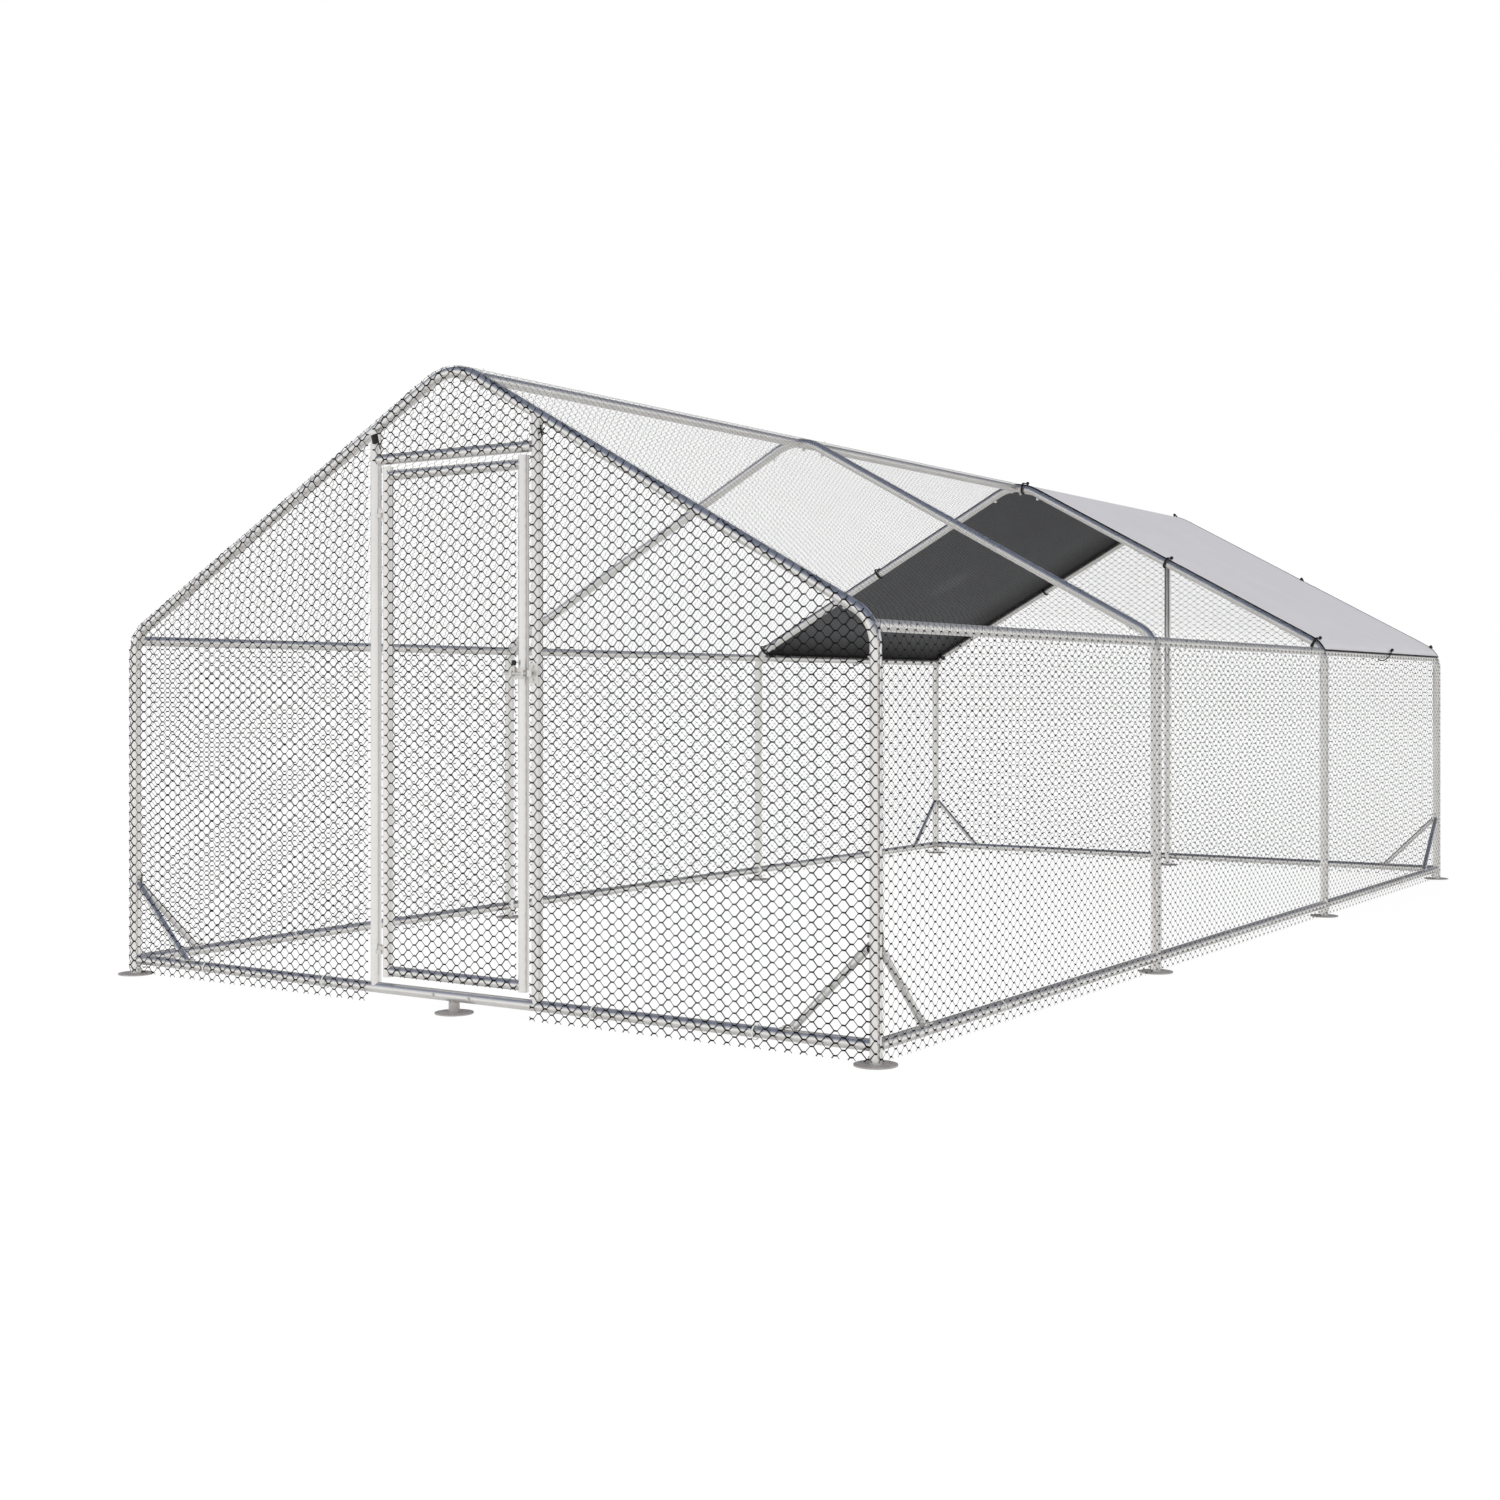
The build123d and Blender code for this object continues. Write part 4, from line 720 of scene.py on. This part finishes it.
# tailWide and headWide are shares of the band's half width
clip = {"width": 0.0026, "thick": 0.0009, "bandSteps": 40, "sides": 8,
        "tail": 0.016, "tailWay": (0.55, -0.85), "tailCurl": 0.004, "tailWide": 0.8, "tailSteps": 12,
        "head": 0.0055, "headOut": 0.001, "headWide": 1.5, "headThick": 0.0024, "headSteps": 5}
# the clips that hold the nets to the bottom tubes, and the bare ones on the ridge and the left eave tube
clipPlaces = {"front": (-1.121, -0.554, 0.554, 1.121), "side": (-2.265, -1.735, -0.265, 0.265, 1.735, 2.265),
              "railZ": 0.053, "ringOut": 0.0038, "ring": 0.022, "bareRing": 0.0195,
              "ridge": (-2.889, -0.83), "ridgeOut": (0.9, 0, 0.44),
              "eave": (1.14, 2.961), "eaveOut": (0.98, 0, -0.2)}


def makeClip(name, centre, axis, out, radius, node):
    # a cable tie: a flat band round the tube, a square head with a rounded edge, and the cut tail
    centre, axis, out = (np.array(v, dtype=float) for v in (centre, axis, out))
    up = np.cross(axis, out)
    turn = np.linspace(0, 2 * pi, clip["bandSteps"], endpoint=False)
    spoke = np.cos(turn)[:, None] * out + np.sin(turn)[:, None] * up
    start = centre + radius * out
    run = np.linspace(0, 1, clip["tailSteps"])[:, None]
    tailWay = clip["tailWay"][0] * out + clip["tailWay"][1] * up
    tail = start + run * clip["tail"] * tailWay + run ** 2 * clip["tailCurl"] * out
    run = np.linspace(-0.5, 0.5, clip["headSteps"])[:, None]
    head = start + clip["headOut"] * out + run * clip["head"] * up
    for part, path, flat, wide, thick, closed in (
            ("Band", centre + radius * spoke, spoke, 1, clip["thick"], True),
            ("Tail", tail, np.tile(out, (len(tail), 1)), clip["tailWide"], clip["thick"], False),
            ("Head", head, np.tile(out, (len(head), 1)), clip["headWide"], clip["headThick"], False)):
        piece = sweep(name + part, path, flat, wide * clip["width"], thick, [clipNylon], closed,
                      clip["sides"])
        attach(piece, "frame")
        if node:
            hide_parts(node)


for k, x in enumerate(clipPlaces["front"]):
    makeClip(f"frontClip{k + 1}", (x, frames[0] - clipPlaces["ringOut"], clipPlaces["railZ"]), (1, 0, 0),
             (0, -1, 0), clipPlaces["ring"], "net_ties")
for sideName, side in (("left", -1), ("right", 1)):
    ringX = side * (portal["halfWidth"] + clipPlaces["ringOut"])
    for k, y in enumerate(clipPlaces["side"]):
        makeClip(f"{sideName}Clip{k + 1}", (ringX, y, clipPlaces["railZ"]), (0, 1, 0), (side, 0, 0),
                 clipPlaces["ring"], "net_ties")
leftRail = portalPlace(railLength, -1)[0]
for name, tube, places, out in (("ridgeClip", ridgeAxis, clipPlaces["ridge"], clipPlaces["ridgeOut"]),
                                ("leftEaveClip", leftRail, clipPlaces["eave"], clipPlaces["eaveOut"])):
    for k, y in enumerate(places):
        makeClip(f"{name}{k + 1}", tube + (0, y, 0), (0, 1, 0), out, clipPlaces["bareRing"], None)

# white nylon caps on the screws under each ridge bend: two where the rafters go in, one for each ridge tube
cap = {"radius": 0.0068, "drop": 0.0215, "rafter": 0.030, "ridgeTube": 0.0471}
for k, y in enumerate(frames):
    sites = [portalPlace(ridgeStart - cap["rafter"], side)[:2] for side in (-1, 1)]
    sites += [(ridgeAxis + (0, way * cap["ridgeTube"], 0), np.array((0, 0, 1.0))) for way in (-1, 1)
              if frames[0] < y + way < frames[-1]]
    for n, (place, out) in enumerate(sites):
        centre = place - cap["drop"] * out + (0, y, 0)
        piece = ballMesh(f"ridgeCap{k + 1}{n + 1}", centre, -out, cap["radius"], [clipNylon])
        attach(piece, "frame")

# black net fixings at the tops of the door posts: a folded strap with a loose end, and a twisted wire; each
# has its top, its end, and half its width and thickness
knots = {"strap": ((-0.315, -3.0265, 1.810), (-0.308, -3.0265, 1.784), 0.0135, 0.0065),
         "strapEnd": ((-0.298, -3.0255, 1.788), (-0.291, -3.0235, 1.763), 0.0018, 0.0018),
         "twist": ((0.3644, -3.0225, 1.790), (0.3694, -3.0225, 1.758), 0.0026, 0.0024),
         "twistBack": ((0.3566, -3.0235, 1.781), (0.3811, -3.0235, 1.763), 0.0022, 0.0020),
         "twistEnd": ((0.3821, -3.0245, 1.779), (0.3576, -3.0245, 1.764), 0.0022, 0.0020)}
knotSteps, knotSides = 7, 12
for name, (top, end, width, thick) in knots.items():
    path = np.linspace(top, end, knotSteps)
    outward = np.tile((0, -1.0, 0), (knotSteps, 1))
    piece = sweep(f"{name}Knot", path, outward, width, thick, [cordRubber], False, knotSides)
    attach(piece, "frame")
print("clips ready")


# floor, backdrop, light and camera

# share is how far the floor glows where it is seen; seen and under are the glow's strengths to the camera
# and, close by, in the metal
floorPaper = {"colour": "#f0f0f0", "rough": 0.9, "share": 0.88, "seen": 1.05, "under": 0.58,
              "fade": (0.62, 0.86), "reach": 60.0, "level": -0.0006}


def makeFloor():
    # white paper: seen as white by the camera with the object's shadow kept, and in the metal as grey close
    # by and white toward the horizon
    material, tree, shader = newMaterial("floorPaperMatt", {"Roughness": floorPaper["rough"],
                                                            "Base Color": linear(floorPaper["colour"])})
    path = addNode(tree, "ShaderNodeLightPath").outputs
    direct = addNode(tree, "ShaderNodeMath", {"operation": "ADD"},
                     {0: path["Is Camera Ray"], 1: path["Is Glossy Ray"]})
    seen = addNode(tree, "ShaderNodeMath", {"operation": "ADD"},
                   {0: direct.outputs[0], 1: path["Is Transmission Ray"]})
    share = addNode(tree, "ShaderNodeMath",
                    {"operation": "MULTIPLY", 1: floorPaper["share"], "use_clamp": True},
                    {0: seen.outputs[0]})
    grazing = addNode(tree, "ShaderNodeLayerWeight").outputs["Facing"]
    mirrored = addNode(tree, "ShaderNodeMapRange", {"From Min": floorPaper["fade"][0],
                                                    "From Max": floorPaper["fade"][1],
                                                    "To Min": floorPaper["under"]}, {"Value": grazing})
    strength = addNode(tree, "ShaderNodeMix", {"data_type": "FLOAT", 2: floorPaper["seen"]},
                       {0: path["Is Glossy Ray"], 3: mirrored.outputs[0]})
    glow = addNode(tree, "ShaderNodeEmission", {"Color": (1, 1, 1, 1)}, {"Strength": strength.outputs[0]})
    both = addNode(tree, "ShaderNodeMixShader", None,
                   {0: share.outputs[0], 1: shader.outputs[0], 2: glow.outputs[0]})
    output = [n for n in tree.nodes if n.type == "OUTPUT_MATERIAL"][0]
    tree.links.new(both.outputs[0], output.inputs["Surface"])
    corners = floorPaper["reach"] * np.array(((-1, -1, 0), (1, -1, 0), (1, 1, 0), (-1, 1, 0)))
    points = corners + (0, 0, floorPaper["level"])
    floor = newMesh("floorPaper", points, np.arange(4), np.array((4,)), [material])


studio = {"ambient": 0.95, "horizon": (1, 1, 1, 1),
          "overhead": (0.04, 0.075, 0.18, 1), "skyFade": (0.05, 0.65),
          "screen": (0.22, 0.23, 0.26, 1), "screenFaces": (0.545, -0.838, 0.0), "screenFade": (-0.35, -0.75)}


def makeStudio():
    # plain white all round; in the metal it is white at the horizon and darker and bluer overhead, and a
    # grey screen behind the coop, which only the metal shows, draws the edges of the tubes
    world = bpy.data.worlds.new("studioWhite")
    scene.world = world
    world.use_nodes = True
    tree = world.node_tree
    tree.nodes.clear()
    path = addNode(tree, "ShaderNodeLightPath").outputs
    seen = addNode(tree, "ShaderNodeMath", {"operation": "ADD", "use_clamp": True},
                   {0: path["Is Camera Ray"], 1: path["Is Transmission Ray"]})
    lit = addNode(tree, "ShaderNodeMath", {"operation": "ADD", "use_clamp": True},
                  {0: seen.outputs[0], 1: path["Is Glossy Ray"]})
    way = addNode(tree, "ShaderNodeTexCoord").outputs["Generated"]
    height = addNode(tree, "ShaderNodeSeparateXYZ", None, {0: way}).outputs["Z"]
    behind = addNode(tree, "ShaderNodeVectorMath", {"operation": "DOT_PRODUCT", 1: studio["screenFaces"]},
                     {0: way}).outputs["Value"]
    before = {}
    for source, fade, smooth, tint in ((height, studio["skyFade"], "LINEAR", studio["overhead"]),
                                       (behind, studio["screenFade"], "SMOOTHSTEP", studio["screen"])):
        part = addNode(tree, "ShaderNodeMapRange", {"interpolation_type": smooth, "From Min": fade[0],
                                                    "From Max": fade[1]}, {"Value": source})
        mirrored = addNode(tree, "ShaderNodeMath", {"operation": "MULTIPLY"},
                           {0: part.outputs[0], 1: path["Is Glossy Ray"]})
        colour = addNode(tree, "ShaderNodeMix", {"data_type": "RGBA", 6: studio["horizon"], 7: tint},
                         {0: mirrored.outputs[0], **before})
        before = {6: colour.outputs[2]}
    strength = addNode(tree, "ShaderNodeMapRange", {"To Min": studio["ambient"]}, {"Value": lit.outputs[0]})
    sky = addNode(tree, "ShaderNodeBackground", None,
                  {"Color": colour.outputs[2], "Strength": strength.outputs[0]})
    addNode(tree, "ShaderNodeOutputWorld", None, {"Surface": sky.outputs[0]})


lamps = {"key": {"place": (-3.0, -11.0, 4.0), "aim": (0, -0.5, 0.8), "size": (7.0, 4.0), "power": 100},
         "fill": {"place": (11.0, -3.0, 2.5), "aim": (0.5, 0.0, 0.8), "size": (8.0, 3.0), "power": 60}}


def makeLamps():
    # soft boxes that the metal doesn't mirror, each tilted up from straight down and then turned to its aim
    for name, lamp in lamps.items():
        light = bpy.data.lights.new(f"{name}Softbox", "AREA")
        light.shape = "RECTANGLE"
        light.size, light.size_y = lamp["size"]
        light.energy = lamp["power"]
        holder = bpy.data.objects.new(f"{name}Softbox", light)
        scene.collection.objects.link(holder)
        x, y, z = np.subtract(lamp["aim"], lamp["place"]).tolist()
        holder.location = lamp["place"]
        holder.rotation_euler = (atan2(np.hypot(x, y), -z), 0, atan2(y, x) - pi / 2)
        holder.visible_glossy = False


shot = {"place": (4.00491, -7.38254, 0.99427), "turn": 0.57664, "sensor": 36.0, "lens": 45.4314,
        "shift": (-0.011327, -0.038707), "farthest": 200.0}


def makeCamera():
    # level, and turned about the vertical from looking along +Y
    lens = bpy.data.cameras.new("photoCamera")
    lens.sensor_fit = "HORIZONTAL"
    lens.sensor_width = shot["sensor"]
    lens.lens = shot["lens"]
    lens.shift_x, lens.shift_y = shot["shift"]
    lens.clip_end = shot["farthest"]
    camera = bpy.data.objects.new("photoCamera", lens)
    scene.collection.objects.link(camera)
    camera.location = shot["place"]
    camera.rotation_euler = (pi / 2, 0, shot["turn"])
    scene.camera = camera


makeFloor()
makeStudio()
makeLamps()
makeCamera()
scene.view_settings.view_transform = "Standard"
print("stage ready")
